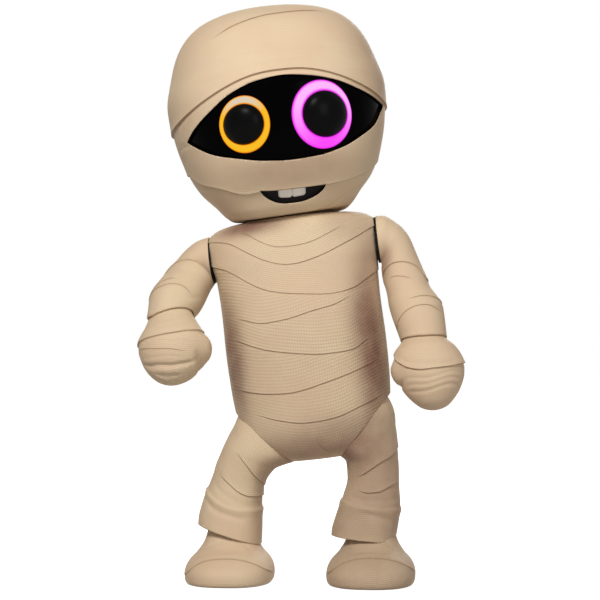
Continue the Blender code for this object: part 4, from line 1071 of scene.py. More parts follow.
@dataclass(frozen=True, kw_only=True)
class Arm(Limb):
    """An arm, rings round a bent line from the shoulder to the wrist.

    Args:
        rows: Inner edge (out, up), outer edge (out, up), forward place and half depth of each ring.
        start: How far outwards from the joint the rings begin.
        drop: How far the arm's end hangs below its last ring, by angle.
    """

    names = ("arm", "arm", "arm_shell")
    places = ARM_PLACES
    rows: Sequence[Sequence[float]]
    start: float
    drop: Knots
    girth: float = 39.0
    pitch: float = 1.7

    @cached_property
    def reach(self) -> Array:
        """Way from the shoulder to each ring, along the middles of the rings.

        Returns:
            The distances.
        """
        rows = np.asarray(self.rows, float)
        middle = np.stack([(rows[:, 0] + rows[:, 2]) / 2, -rows[:, 4], (rows[:, 1] + rows[:, 3]) / 2], axis=1)
        return np.concatenate([[0], np.cumsum(np.linalg.norm(np.diff(middle, axis=0), axis=1) + 0.1)])

    @property
    def length(self) -> float:
        """Way from the shoulder to the last ring."""
        return self.reach[-1]

    def rings(self, reach: Array) -> tuple[Array, Array, Array, Array, Array]:
        """The arm's rings at distances from the shoulder.

        Each ring's forward direction is square to the limb's way, which is averaged over about 25 mm so that
        neighbouring rings never cross.

        Args:
            reach: The distances.

        Returns:
            Middles, the two directions and the two half sizes.
        """
        given = np.asarray(self.rows, float)
        fine = np.arange(0.0, self.length + 30.0, 0.5)
        rows = pchip(self.reach, given, np.minimum(fine, self.length))
        slope = (given[-1] - given[-2]) / (self.reach[-1] - self.reach[-2]) * (1, 1, 1, 1, 1, 0)
        rows = rows + np.maximum(fine - self.length, 0)[:, None] * slope
        inner = np.stack([rows[:, 0], -rows[:, 4], rows[:, 1]], axis=1)
        outer = np.stack([rows[:, 2], -rows[:, 4], rows[:, 3]], axis=1)
        middle = (inner + outer) / 2
        across = (outer - inner) / 2
        half = np.linalg.norm(across, axis=1, keepdims=True)
        across = across / half
        way = np.gradient(middle, axis=0)
        window = np.exp(-0.5 * (np.arange(-75, 76) / 28.0) ** 2)
        padded = np.pad(way, ((75, 75), (0, 0)), mode="edge")
        way = np.stack([np.convolve(column, window / window.sum(), mode="valid") for column in padded.T], axis=1)
        way[:, 1] *= smooth(0, 34, fine)
        way[:, ::2] += (1 - smooth(0, 12, fine))[:, None] * ((1, 0) - way[:, ::2])
        way /= np.linalg.norm(way, axis=1, keepdims=True)
        front = np.array([0, -1.0, 0])
        deep = front - (way @ front)[:, None] * way
        deep -= np.sum(deep * across, axis=1, keepdims=True) * across
        deep /= np.linalg.norm(deep, axis=1, keepdims=True)
        middle = middle + (self.start, 0, 0)

        def read(values: Array) -> Array:
            """A value at the wanted distances."""
            return np.stack([np.interp(reach, fine, column) for column in values.T], axis=1)

        return read(middle), read(across), read(deep), read(half), read(rows[:, 5:6])

    def sheet(self) -> Sheet:
        """The arm's outside: middle + across * half * sin(angle) + deep * depth * cos(angle).

        Returns:
            The sheet.
        """
        turn = np.linspace(-180, 180, self.columns)
        drop = eased(self.drop, turn, CUFF_EASE)
        along = self.wrap.rows(turn, 0.0, -self.length - drop, self.pitch)
        reach = np.linspace(0, self.length + drop.max(), 220)
        middle, across, deep, half, depth = self.rings(reach)
        angle = np.broadcast_to(turn, along.shape)
        lateral = np.sin(np.radians(angle)) * self.side.value
        forward = np.cos(np.radians(angle))

        def read(values: Array) -> Array:
            """A value of the rings at every place of the grid."""
            columns = [np.interp(-along, reach, column) for column in values.T]
            return np.stack(columns, axis=-1)

        points = (read(middle) + read(across) * read(half) * lateral[..., None]
                  + read(deep) * read(depth) * forward[..., None])
        points[..., 0] *= self.side.value
        return Sheet(points, angle, along, self.wrap, closed=True)


@dataclass(frozen=True, kw_only=True)
class Fist(Limb):
    """The mitten fist that closes round an arm's end.

    Args:
        arm: The arm.
        rows: Way from the wrist, and half width and half depth as shares of the wrist's, of each ring.
        shift: How far it moves outwards, back and up over its first 50 mm.
        bend: How far it bends over its first 100 mm, as the square of the way.
        fit: Gap between it and the inside of the arm.
    """

    names = ("fist", "arm", "fist")
    places = ARM_PLACES
    arm: Arm
    rows: Sequence[Sequence[float]]
    shift: tuple[float, float, float]
    bend: tuple[float, float, float]
    girth: float = 36.0
    pitch: float = 1.7
    wall: float | None = None
    fit: float = 0.3

    def sheet(self) -> Sheet:
        """The fist, a swelling stack of rings on the wrist's line: middle + way * reach + shift + bend + ring.

        Returns:
            The sheet.
        """
        arm = self.arm
        middle, across, deep, half, _ = (
            value[-1] for value in arm.rings(np.array([0.0, arm.length - 4, arm.length])))
        bore = half[0] - arm.wall - self.fit
        way = np.cross(across, deep)
        way *= -np.sign(way[2])
        turn = np.linspace(-180, 180, self.columns)
        rows = np.asarray(self.rows, float)
        length = np.concatenate([[0], np.cumsum(np.hypot(np.diff(rows[:, 0]), bore * np.diff(rows[:, 1])))])
        along = self.wrap.rows(turn, 0.0, -length[-1], self.pitch)
        angle = np.broadcast_to(turn, along.shape)
        fine = np.linspace(0, length[-1], 300)
        reach, wide, depth = (np.interp(-along, fine, column) for column in pchip(length, rows, fine).T)
        ease = np.clip(reach / 50, 0, 2)
        lateral = np.sin(np.radians(angle)) * self.side.value
        forward = np.cos(np.radians(angle))
        ring = across * (wide * bore * lateral)[..., None] + deep * (depth * bore * forward)[..., None]
        tilt = eased(arm.drop, angle, CUFF_EASE) * (1 - smooth(0, 62, reach))
        points = middle + way * (reach + tilt)[..., None] + np.array(self.shift) * ease[..., None] + ring
        points = points + np.array(self.bend) * (np.clip(reach, 0, 110)[..., None] / 100) ** 2
        points[..., 0] *= self.side.value
        return Sheet(points, angle, along, self.wrap, closed=True, caps=(End.FIRST, End.LAST))


ARM_ROWS = {
    Side.RIGHT: (
        (0, -37, 0, 37.5, 0, 37), (1, -38, 18, 33.5, 0, 37.5), (1.5, -39, 33, 25.5, 1, 38), (2.5, -41, 46, 15, 4, 38.5),
        (4, -43.5, 55.5, 4.5, 10, 39), (6, -47.5, 67, -8, 18, 39.5), (9.5, -55, 77, -20, 28, 40),
        (13.5, -63.5, 85.5, -31, 40, 41), (18.5, -71.5, 93.5, -42.5, 51, 40.5), (24, -77, 97.5, -55, 60, 39),
        (27.8, -79.5, 99.5, -69, 66, 37),
    ),
    Side.LEFT: (
        (0, -37, 0, 37.5, 0, 37), (0, -39, 12, 36.5, 0, 37.5), (0, -43, 26, 27, 0, 37), (0, -49, 39, 14, 2, 37),
        (0, -57.5, 48, -2, 5, 36), (0.5, -68, 54, -22, 10, 35.5), (2.5, -78, 60.5, -45, 15, 35),
        (4, -90, 66.5, -66, 21, 35.5), (4.5, -104, 71, -82, 26, 37), (6.5, -118, 80, -99, 31, 38.5),
        (9, -130, 87.5, -117, 37, 39.5), (12.5, -143, 88, -138, 44, 38.5), (16, -158, 88, -159, 50, 36.5),
    ),
}
ARM_START = {Side.RIGHT: 2.4, Side.LEFT: 4.2}
FIST_ROWS = {
    Side.RIGHT: (
        (-8, .93, .93), (0, .99, .98), (5, 1.04, 1.04), (12, 1.14, 1.12), (26, 1.34, 1.28), (42, 1.56, 1.42),
        (50, 1.63, 1.46), (60, 1.61, 1.44), (70, 1.48, 1.35), (80, 1.27, 1.18), (90, .93, .88), (96, .6, .58),
        (99, .25, .25), (100, .01, .01),
    ),
    Side.LEFT: (
        (-8, .93, .93), (0, .99, .98), (5, 1.1, 1.08), (17, 1.42, 1.33), (32, 1.6, 1.42), (43, 1.65, 1.46),
        (57, 1.58, 1.42), (74, 1.33, 1.26), (88, .97, .95), (97, .62, .62), (101, .25, .25), (102, .01, .01),
    ),
}
FIST_SHIFT = {Side.RIGHT: (-13, 3, -13), Side.LEFT: (5, 4, -7)}
FIST_BEND = {Side.RIGHT: (24, 0, 3), Side.LEFT: (-4, 0, 0)}
# How far the arm's end hangs below its last ring, by angle, and the angle over which that is rounded off.
CUFF_EASE = 6.0
CUFF_DROP = {
    Side.RIGHT: ((-180, 4), (-90, 8.5), (-60, 13.5), (-30, 18.5), (0, 18.5), (30, 15), (60, 7), (90, 1), (135, 1)),
    Side.LEFT: ((-180, 3), (-90, 3), (-45, 6), (0, 8), (45, 6), (90, 3), (135, 3)),
}
FINE = (2.9, 2.5)
ARM_WRAPS = {
    Side.RIGHT: Wrap(
        laps=(
            Lap(((-130, -78), (-95, -70), (-72, -56), (-52, -48), (-34, -43), (-16, -39), (0, -36), (25, -36),
                 (60, -40), (120, -52), (180, -66)), 1.5, 14.0, (-400, 14), FINE),
            Lap(((-120, -114), (-85, -110), (-59, -102), (-49, -99), (-31, -94), (-14, -91), (20, -88), (90, -96),
                 (180, -106)), 1.3, 12.0, (-400, -14), FINE),
            Lap(((-120, -121), (-90, -117), (-64, -109), (-31, -105), (-11, -102), (9, -101), (31, -105), (60, -110),
                 (120, -116), (180, -118)), 0.8, 10.0, (-80, 34), FINE),
        ),
        # Painted shade on the upper arm below the shoulder and lower down its side.
        stains=(Stain((30, -16), (44, 20), 0.5), Stain((75, -60), (30, 60), 0.3)),
        folds=(
            Fold(((0, -114), (25, -117), (45, -112), (70, -96)), -1.5, 7.0, (8, 66)),
            Fold(((-60, -70), (0, -64), (40, -62)), -0.5, 9.0, (-60, 50)),
        ),
        weave=FINE,
    ),
    Side.LEFT: Wrap(
        laps=(
            Lap(((-100, -46), (-54, -50), (-30, -52), (-11, -56), (14, -65), (37, -74), (67, -88), (80, -99),
                 (130, -100), (180, -72)), 1.6, 14.0, (-62, 400), FINE),
            Lap(((-90, -70), (-24, -77), (-1, -86), (26, -98), (60, -110), (130, -116), (180, -92)), 0.9, 8.0,
                (-26, 20), FINE),
            Lap(((-90, -118), (-20, -124), (-1, -128), (24, -129), (49, -132), (67, -134), (120, -138), (180, -128)),
                1.4, 9.0, (0, 400), FINE),
            Lap(((-120, -172), (-77, -163), (-42, -152), (-19, -146), (4, -144), (29, -146), (49, -151), (62, -154),
                 (120, -160), (180, -168)), 1.2, 9.0, (-82, 58), FINE),
        ),
        folds=(Fold(((-70, -100), (-20, -108), (30, -116)), -0.6, 9.0, (-70, 30)),),
        # Painted shade on the upper arm below the shoulder.
        stains=(Stain((-35, -34), (44, 28), 0.55),),
        weave=FINE,
    ),
}
FIST_WRAPS = {
    Side.RIGHT: Wrap(
        laps=(
            Lap(((-110, -60), (-71, -66), (-46, -69), (-25, -70), (3, -67), (30, -58), (65, -46), (100, -42),
                 (180, -50)), 2.2, 15.0, (-400, 84), FINE),
            Lap(((-90, -72), (-71, -76), (-45, -83), (-19, -88), (22, -89), (60, -82), (180, -78)), 0.6, 7.0,
                (-70, 24), FINE),
        ),
        folds=(
            Fold(((-60, -36), (-20, -34), (10, -27)), -0.6, 3.5, (-60, 8)),
            Fold(((-30, -54), (0, -48), (40, -36)), -0.7, 3.5, (-30, 40)),
            Fold(((-19, -78), (3, -79), (30, -75)), -0.5, 1.6, (-18, 34)),
            Fold(((-79, -90), (-25, -99), (27, -98), (60, -90)), -0.5, 1.8, (-70, 30)),
            Fold(((-87, -96), (-52, -108), (3, -113), (52, -101), (70, -90)), -3.2, 5.5, (-80, 60), above=3.5),
            Fold(((-90, -118), (-40, -129), (0, -132), (50, -126), (90, -118)), -1.8, 5.0, (-60, 60)),
            Lump((88, -63), (27, 16), 5.5),
            Fold(((60, -72), (80, -78), (110, -78)), -1.0, 2.0, (62, 110)),
            Fold(((50, -84), (75, -89), (120, -89)), -4.0, 5.0, (58, 130)),
        ),
        weave=(2.4, 2.2),
    ),
    Side.LEFT: Wrap(
        laps=(
            Lap(((-130, -32), (-90, -32), (-52, -53), (-30, -66), (-8, -71), (19, -70), (41, -67), (65, -61),
                 (100, -54), (180, -42)), 2.4, 15.0, (-400, 400), FINE),
        ),
        folds=(
            Fold(((-60, -44), (-20, -60), (20, -65), (60, -56)), -0.7, 4.0, (-50, 50)),
            Fold(((-60, -28), (-20, -38), (20, -44), (60, -42)), -0.7, 4.0, (-50, 50)),
            Fold(((-41, -79), (-5, -84), (52, -74)), -0.9, 2.8, (-50, 70)),
            Fold(((-52, -88), (-8, -93), (49, -83)), -0.9, 2.6, (-56, 70)),
            Fold(((-68, -97), (-16, -103), (52, -93)), -1.3, 3.2, (-60, 70)),
            Lump((-84, -62), (24, 15), 5.0),
            Fold(((-110, -79), (-80, -83), (-56, -79)), -2.6, 3.4, (-120, -62)),
        ),
        weave=FINE,
    ),
}

LEG_ROWS = {
    Side.RIGHT: (
        (0, -50, 70, 62), (20, -46, 71, 62), (36, -39, 72, 61), (48, -26, 72.5, 59), (60, -15, 73, 56),
        (84, -9, 73, 51), (110, -15, 70.5, 48), (138, -27, 70, 50), (165, -38, 67.5, 52), (200, -50, 58, 53),
    ),
    Side.LEFT: (
        (0, -50, 70, 62), (20, -46, 68.5, 62), (36, -39, 67, 61), (48, -26, 66, 59), (60, -17, 65, 56),
        (84, -19, 62.5, 51), (110, -30, 58.5, 48), (138, -46, 55.5, 50), (165, -58, 48.5, 52), (200, -63, 36, 53),
    ),
}
# Depth of the hem on the leg's own line, and its slope outwards.
HEM = {Side.RIGHT: (180, 0.097), Side.LEFT: (184, 0.26)}
LEG_WRAPS = {
    Side.RIGHT: Wrap(
        laps=(
            Lap(((-120, -50), (-60, -42), (-12, -57), (8, -67), (34, -77), (68, -85), (110, -92), (180, -76)), 1.6,
                14.0, (-12, 400), FINE),
            Lap(((-110, -94), (-60, -92), (-29, -99), (-6, -105), (6, -110), (25, -111), (46, -108), (77, -105),
                 (120, -108), (180, -102)), 1.8, 12.0, (-30, 400), FINE),
        ),
        # Painted shade on the thigh under the torso and lower down the leg.
        stains=(Stain((62, -36), (34, 46), 0.45), Stain((70, -110), (30, 60), 0.25)),
        folds=(
            Fold(((-90, -130), (-66, -133), (-32, -138), (-6, -140), (10, -137), (34, -131), (88, -125), (180, -128)),
                 2.0, 7.0, above=2.2),
            Fold(((-60, -144), (-20, -150), (20, -147), (60, -138)), -1.6, 4.5, (-60, 24)),
            Fold(((-90, -36), (-50, -42), (0, -48)), -0.8, 5.0, (-100, -40)),
            Fold(((-60, -112), (-20, -122), (20, -126), (60, -118)), -0.9, 5.0, (-50, 60)),
        ),
        weave=FINE,
    ),
    Side.LEFT: Wrap(
        laps=(
            Lap(((-120, -78), (-60, -86), (-21, -82), (-3, -75), (14, -67), (39, -61), (55, -57), (85, -51),
                 (130, -50), (180, -62)), 1.7, 14.0, (-22, 400), FINE),
            Lap(((-120, -102), (-60, -98), (-18, -105), (-1, -110), (16, -111), (34, -107), (64, -102), (100, -98),
                 (180, -98)), 1.6, 12.0, (-18, 76), FINE),
        ),
        # Painted shade at the top of the leg under the torso, over the leg and above the hem.
        stains=(
            Stain((-30, -18), (66, 52), 0.72), Stain((10, -60), (90, 60), 0.4), Stain((0, -150), (150, 50), 0.42),
        ),
        folds=(
            Fold(((-110, -118), (-68, -119), (-25, -127), (3, -135), (23, -140), (88, -146), (180, -130)), 2.0, 7.0,
                 above=2.2),
            Fold(((-20, -132), (0, -141), (25, -150), (60, -160)), -1.5, 4.0, (-10, 44)),
            Fold(((-60, -108), (-10, -119), (30, -126), (80, -128)), -0.9, 5.0, (-40, 70)),
            Fold(((20, -40), (60, -34), (100, -32)), -0.8, 4.0, (30, 120)),
        ),
        weave=FINE,
    ),
}


@dataclass(frozen=True, kw_only=True)
class Leg(Limb):
    """A leg from its slanted open top to its hem.

    Args:
        rows: Depth down the leg, and inner edge, outer edge and half depth there.
        hem: Depth of the hem on the leg's own line, and its slope outwards.
        power: Power of its rounded-square sections.
        thigh: Radius of the ball that the leg ends in above the hip pin.
        rim: Place where the open top crosses the hip pin, and its slope.
        lift: How far the top stands higher in front, and lower behind.
    """

    names = ("leg", "leg", "leg_shell")
    places = LEG_PLACES
    rows: Sequence[Sequence[float]]
    hem: tuple[float, float]
    girth: float = 56.0
    power: float = 2.3
    thigh: float = 70.0
    rim: tuple[float, float] = (-1.4, 0.587)
    lift: tuple[float, float] = (3.2, 0.6)

    def edges(self, depth: Array) -> tuple[Array, Array, Array]:
        """Inner edge, outer edge and half depth; above the hip pin they shrink by the root of 1 - (depth / thigh)^2.

        Args:
            depth: Depths down the leg.

        Returns:
            The three.
        """
        rows = np.asarray(self.rows, float)
        inner, outer, half = (pchip(rows[:, 0], rows[:, i], np.maximum(depth, 0)) for i in (1, 2, 3))
        above = np.sqrt(np.clip(1 - (np.minimum(depth, 0) / self.thigh) ** 2, 0, 1))
        return inner * above, outer * above, half * above

    def sheet(self) -> Sheet:
        """The leg's outside: x = middle + half width * lateral, y = -half depth * forward, z = -depth + rim.

        Returns:
            The sheet.
        """
        turn = even_angles(self.power, -180, 180, self.columns)
        hem, hem_slope = self.hem
        along = self.wrap.rows(turn, 0.0, -float(hem), self.pitch)
        angle = np.broadcast_to(turn, along.shape)
        lateral, forward = super_point(angle, self.power)
        lateral = lateral * self.side.value
        place, slope = self.rim
        inner, outer, half = self.edges(-along)
        x = (inner + outer) / 2 + (outer - inner) / 2 * lateral
        ease = np.clip(1 + along / 50, 0, 1)
        rise = self.lift[0] * smooth(-0.1, 0.5, forward) - self.lift[1] * smooth(0.1, 0.6, -forward)
        z = along + ease * (slope * (x - place) + rise) - smooth(140, hem, -along) * hem_slope * x
        inner, outer, half = self.edges(-z)
        x = (inner + outer) / 2 + (outer - inner) / 2 * lateral
        points = np.stack([self.side.value * x, -half * forward, z], axis=-1)
        return Sheet(points, angle, along, self.wrap, closed=True)


SHOE_ROWS = (
    (82, 35.5, -41, 41), (70, 38.5, -45, 43), (59.5, 42.5, -52, 46), (53, 46.5, -60, 49), (46, 51.5, -75, 56),
    (34, 62.5, -97, 66), (24, 67.5, -108, 69), (14, 69, -111.5, 70), (5, 68, -111, 69), (1, 65.5, -108, 66),
)
SHOE_WRAPS = {
    Side.RIGHT: Wrap(
        laps=(Lap(((-130, 16), (-90, 14), (-62, 17), (-48, 26), (-40, 37), (-30, 46), (-15, 55), (5, 58), (22, 53),
                   (42, 41), (62, 26), (90, 17), (130, 15), (180, 16)), 1.3, 9.0, (-74, 82), (3.2, 3.1)),),
        folds=(
            Fold(((-60, 74), (-36, 92), (0, 104), (26, 100), (60, 74)), -0.8, 5.0, (-60, 60)),
            Fold(((-60, 38), (-30, 58), (5, 69), (30, 63), (60, 40)), 0.8, 5.0, (-50, 56)),
        ),
        weave=(3.1, 3.1),
    ),
    Side.LEFT: Wrap(
        laps=(Lap(((-130, 16), (-90, 16), (-60, 22), (-42, 40), (-30, 52), (-13, 62), (0, 65), (19, 63), (42, 53),
                   (62, 36), (90, 18), (130, 15), (180, 16)), 1.3, 9.0, (-70, 84), (3.2, 3.1)),),
        folds=(
            Fold(((-83, 66), (-50, 92), (0, 108), (30, 104), (66, 74)), -0.8, 5.0, (-60, 60)),
            Fold(((-60, 42), (-30, 64), (0, 76), (30, 72), (60, 48)), 0.8, 5.0, (-50, 56)),
        ),
        weave=(3.1, 3.1),
        # Painted shade over most of this shoe.
        stains=(Stain((0, 60), (170, 120), 0.38),),
    ),
}


@dataclass(frozen=True, kw_only=True)
class Shoe(Limb):
    """A shoe's upper.

    Args:
        rows: Height above the floor, half width, toe, heel of each section, from the top.
        power: Power of its rounded-square sections.
        ankle: Height of the ankle pin.
        squash: How much longer than wide the sections are.
    """

    names = ("shoe", "foot", "shoe")
    places = FOOT_PLACES
    rows: Sequence[Sequence[float]] = SHOE_ROWS
    girth: float = 74.0
    power: float = 2.5
    ankle: float = 52.6
    squash: float = 1.3

    def sheet(self) -> Sheet:
        """The shoe's outside: x = half * lateral, y = middle - half length * forward; heights from the sole up.

        Returns:
            The sheet.
        """
        rows = np.asarray(self.rows, float)[::-1]
        way = np.concatenate([[0], np.cumsum(np.linalg.norm(np.diff(rows[:, :3], axis=0), axis=1))])
        turn = even_angles(self.power, -180, 180, self.columns, self.squash)
        along = self.wrap.rows(turn, way[-1], 0.0, self.pitch)
        angle = np.broadcast_to(turn, along.shape)
        fine = np.linspace(0, way[-1], 300)
        z, half, front, back = (np.interp(along, fine, column) for column in pchip(way, rows, fine).T)
        lateral, forward = super_point(angle, self.power)
        y = (front + back) / 2 - (back - front) / 2 * forward
        return Sheet(np.stack([half * lateral, y, z - self.ankle], axis=-1), angle, along, self.wrap, closed=True)


def limbs(side: Side) -> list[Limb]:
    """The limbs of one side.

    Args:
        side: The figure's own side.

    Returns:
        Arm, fist, leg and shoe.
    """
    arm = Arm(side=side, wrap=ARM_WRAPS[side], rows=ARM_ROWS[side], start=ARM_START[side], drop=CUFF_DROP[side])
    fist = Fist(side=side, wrap=FIST_WRAPS[side], arm=arm, rows=FIST_ROWS[side], shift=FIST_SHIFT[side],
                bend=FIST_BEND[side])
    leg = Leg(side=side, wrap=LEG_WRAPS[side], rows=LEG_ROWS[side], hem=HEM[side])
    return [arm, fist, leg, Shoe(side=side, wrap=SHOE_WRAPS[side])]


class Blend(Enum):
    """The ways in which two numbers join in a material."""

    ADD = "ADD"
    SUBTRACT = "SUBTRACT"
    MULTIPLY = "MULTIPLY"
    MULTIPLY_ADD = "MULTIPLY_ADD"
    SINE = "SINE"
    MAXIMUM = "MAXIMUM"


class Nodes:
    """The node tree of a material or a world, with short ways to add to it.

    Args:
        owner: The material or the world that it belongs to.
    """

    def __init__(self, owner: bpy.types.Material | bpy.types.World) -> None:
        """Switches the owner's nodes on."""
        owner.use_nodes = True
        self.material = owner
        self.tree = owner.node_tree
        self.shader = self.tree.nodes.get("Principled BSDF")

    def add(self, kind: str, **settings: Any) -> bpy.types.Node:
        """Adds a node.

        Args:
            kind: Its type.
            settings: Its properties.

        Returns:
            The node.
        """
        node = self.tree.nodes.new(kind)
        for key, value in settings.items():
            setattr(node, key, value)
        return node

    def put(self, value: Any, socket: Socket) -> None:
        """Links a socket into another, or sets a plain value there.

        Args:
            value: A socket, a number or a colour, or None to leave it.
            socket: Where it goes.
        """
        if isinstance(value, bpy.types.NodeSocket):
            self.tree.links.new(value, socket)
        elif value is not None:
            socket.default_value = value

    def math(self, blend: Blend, *values: Socket | float) -> Socket:
        """A Math node.

        Args:
            blend: What it does.
            values: What goes in.

        Returns:
            Its result.
        """
        node = self.add("ShaderNodeMath", operation=blend.value)
        for value, socket in zip(values, node.inputs):
            self.put(value, socket)
        return node.outputs[0]

    def times(self, *values: Socket | float) -> Socket:
        """The product of two values, plus a third one if it is given."""
        return self.math(Blend.MULTIPLY_ADD if len(values) == 3 else Blend.MULTIPLY, *values)

    def wave(self, turns: Socket, waver: Socket) -> Socket:
        """A wave from 0 to 1: half the sine of turns * 2 pi + waver, plus a half."""
        return self.times(self.math(Blend.SINE, self.times(turns, 2 * math.pi, waver)), 0.5, 0.5)

    def uv(self, name: str) -> tuple[Socket, Socket]:
        """The X and Y of a UV map.

        Args:
            name: The map's name.

        Returns:
            The two values.
        """
        node = self.add("ShaderNodeUVMap", uv_map=name)
        split = self.add("ShaderNodeSeparateXYZ")
        self.put(node.outputs[0], split.inputs[0])
        return split.outputs[0], split.outputs[1]

    def noise(self, scale: float, detail: float) -> Socket:
        """A noise on object coordinates.

        Args:
            scale: How many times it changes over a metre, about.
            detail: How many finer noises it holds.

        Returns:
            Its value.
        """
        node = self.add("ShaderNodeTexNoise")
        self.put(self.add("ShaderNodeTexCoord").outputs["Object"], node.inputs["Vector"])
        self.put(scale, node.inputs["Scale"])
        self.put(detail, node.inputs["Detail"])
        return node.outputs["Fac"]

    def remap(self, value: Socket, low: float, high: float, start: float = 0.0, end: float = 1.0) -> Socket:
        """A value carried evenly from one range to another, clamped.

        Args:
            value: The value.
            low: The first range's start.
            high: Its end.
            start: The second range's start.
            end: Its end.

        Returns:
            The carried value.
        """
        node = self.add("ShaderNodeMapRange")
        self.put(value, node.inputs["Value"])
        for key, number in (("From Min", low), ("From Max", high), ("To Min", start), ("To Max", end)):
            self.put(number, node.inputs[key])
        return node.outputs[0]

    def ramp(self, value: Socket, stops: Sequence[tuple[float, float | Colour]]) -> Socket:
        """A ramp, straight between colours and eased between greys.

        Args:
            value: Where it is read.
            stops: Places and colours, or greys.

        Returns:
            Its colour.
        """
        node = self.add("ShaderNodeValToRGB")
        band = node.color_ramp
        while len(band.elements) < len(stops):
            band.elements.new(0.5)
        for element, (place, shade) in zip(band.elements, stops):
            grey = isinstance(shade, float)
            element.position = place
            element.color = (shade, shade, shade, 1) if grey else (*shade, 1)
            if grey:
                band.interpolation = "EASE"
        self.put(value, node.inputs[0])
        return node.outputs["Color"]

    def mix(self, share: Socket, a: Socket | Colour, b: Socket | Colour) -> Socket:
        """A mix of two colours: a * (1 - share) + b * share.

        Args:
            share: Share of the second colour.
            a: The first colour.
            b: The second colour.

        Returns:
            The mixed colour.
        """
        node = self.add("ShaderNodeMix", data_type="RGBA", blend_type="MIX")
        self.put(share, node.inputs[0])
        for value, socket in ((a, node.inputs[6]), (b, node.inputs[7])):
            self.put((*value, 1.0) if isinstance(value, tuple) else value, socket)
        return node.outputs[2]

    def bump(self, height: Socket, distance: float) -> None:
        """Feeds a height into the shader's normal.

        Args:
            height: The height.
            distance: What it is counted in, in metres.
        """
        node = self.add("ShaderNodeBump")
        self.put(distance, node.inputs["Distance"])
        self.put(1.0, node.inputs["Strength"])
        self.put(height, node.inputs["Height"])
        self.put(node.outputs[0], self.shader.inputs["Normal"])

    def set(self, **values: Any) -> None:
        """Sets the shader's own sockets.

        Args:
            values: Value of each socket, with underscores for spaces in its name.
        """
        for key, value in values.items():
            socket = self.shader.inputs[key.replace("_", " ")]
            self.put((*value, 1.0) if isinstance(value, tuple) else value, socket)


@dataclass(frozen=True)
class Gauze:
    """Skin moulded as wrapped gauze.

    Args:
        name: Name of the material.
        light: Colour of the fibres in the open.
        shade: Colour where the skin is darker.
        crease: Colour of the painted shadow line under each lap and of the painted shade in rib and thread valleys.
        stain: Colour of the patches of painted shade.
        rib_depth: Height of the ribs, in millimetres.
        thread_depth: Height of the cross threads.
        grain_depth: Height of the finest grain.
        step: Height of a lap's own edge in the bump.
        line: Strength of the painted shadow line below a lap.
        edge: Distance to a lap within which its edge and its line are drawn.
        roughness: Roughness of the skin.
        specular: Strength of its reflections.
    """

    name: str
    light: Colour = (0.74, 0.602, 0.412)
    shade: Colour = (0.68, 0.515, 0.355)
    crease: Colour = (0.24, 0.12, 0.055)
    stain: Colour = (0.18, 0.09, 0.07)
    rib_depth: float = 0.22
    thread_depth: float = 0.12
    grain_depth: float = 0.06
    step: float = 0.55
    line: float = 0.6
    edge: float = 6.0
    roughness: float = 0.65
    specular: float = 0.2

    def make(self) -> bpy.types.Material:
        """Ribs and threads are waves over UV map `wrap`, edges and painted shadow lines go by the distance in UV map
        `edge`, and patches of painted shade by UV map `tint`; rib and thread valleys get painted shade too.

        Returns:
            The material.
        """
        nodes = Nodes(bpy.data.materials.new(self.name))
        u, v = nodes.uv("wrap")
        gap, shown = nodes.uv("edge")
        shade_share, _ = nodes.uv("tint")
        broad, middle, grain = (nodes.noise(*size) for size in ((9.0, 3.0), (38.0, 3.0), (1400.0, 1.0)))
        waver = nodes.times(middle, 1.4, -0.7)
        rib, thread = nodes.wave(v, waver), nodes.wave(u, waver)
        strength = nodes.times(shade_share, 0.9, nodes.remap(broad, 0.36, 0.62, 0.35, 1.0))
        ribs = nodes.times(nodes.times(rib, strength), self.rib_depth)
        threads = nodes.times(nodes.times(thread, strength), self.thread_depth)
        scaled = nodes.remap(gap, -self.edge, self.edge)
        step = nodes.ramp(scaled, ((0.0, 0.5), (0.40, 0.36), (0.485, 0.1), (0.515, 0.86), (0.58, 0.72), (1.0, 0.5)))
        height = nodes.times(nodes.times(step, shown), self.step, nodes.math(Blend.ADD, ribs, threads))
        nodes.bump(nodes.times(grain, self.grain_depth, height), MM)
        # Painted shadow: a dark line just under each lap's edge.
        dark = nodes.ramp(scaled, ((0.0, 0.0), (0.32, 0.06), (0.435, 0.6), (0.485, 1.0), (0.51, 0.12), (0.56, 0.0)))
        dark = nodes.times(dark, shown)
        colour = nodes.mix(nodes.remap(broad, 0.35, 0.65), self.shade, self.light)
        # Painted shade: the patches darken the colour, varied by a middle noise.
        shade_mottle = nodes.remap(middle, 0.3, 0.7, 0.85, 1.1)
        colour = nodes.mix(nodes.times(shade_share, shade_mottle), colour, self.stain)
        # Painted shade in the valleys of the ribs and threads.
        valley_shade = nodes.times(nodes.math(Blend.SUBTRACT, 1.0, rib), nodes.times(strength, 0.14))
        weave = nodes.times(nodes.math(Blend.SUBTRACT, 1.0, thread), 0.07, valley_shade)
        colour = nodes.mix(weave, colour, self.crease)
        colour = nodes.mix(nodes.times(dark, self.line), colour, self.crease)
        nodes.set(Base_Color=colour, Roughness=self.roughness, Specular_IOR_Level=self.specular)
        return nodes.material


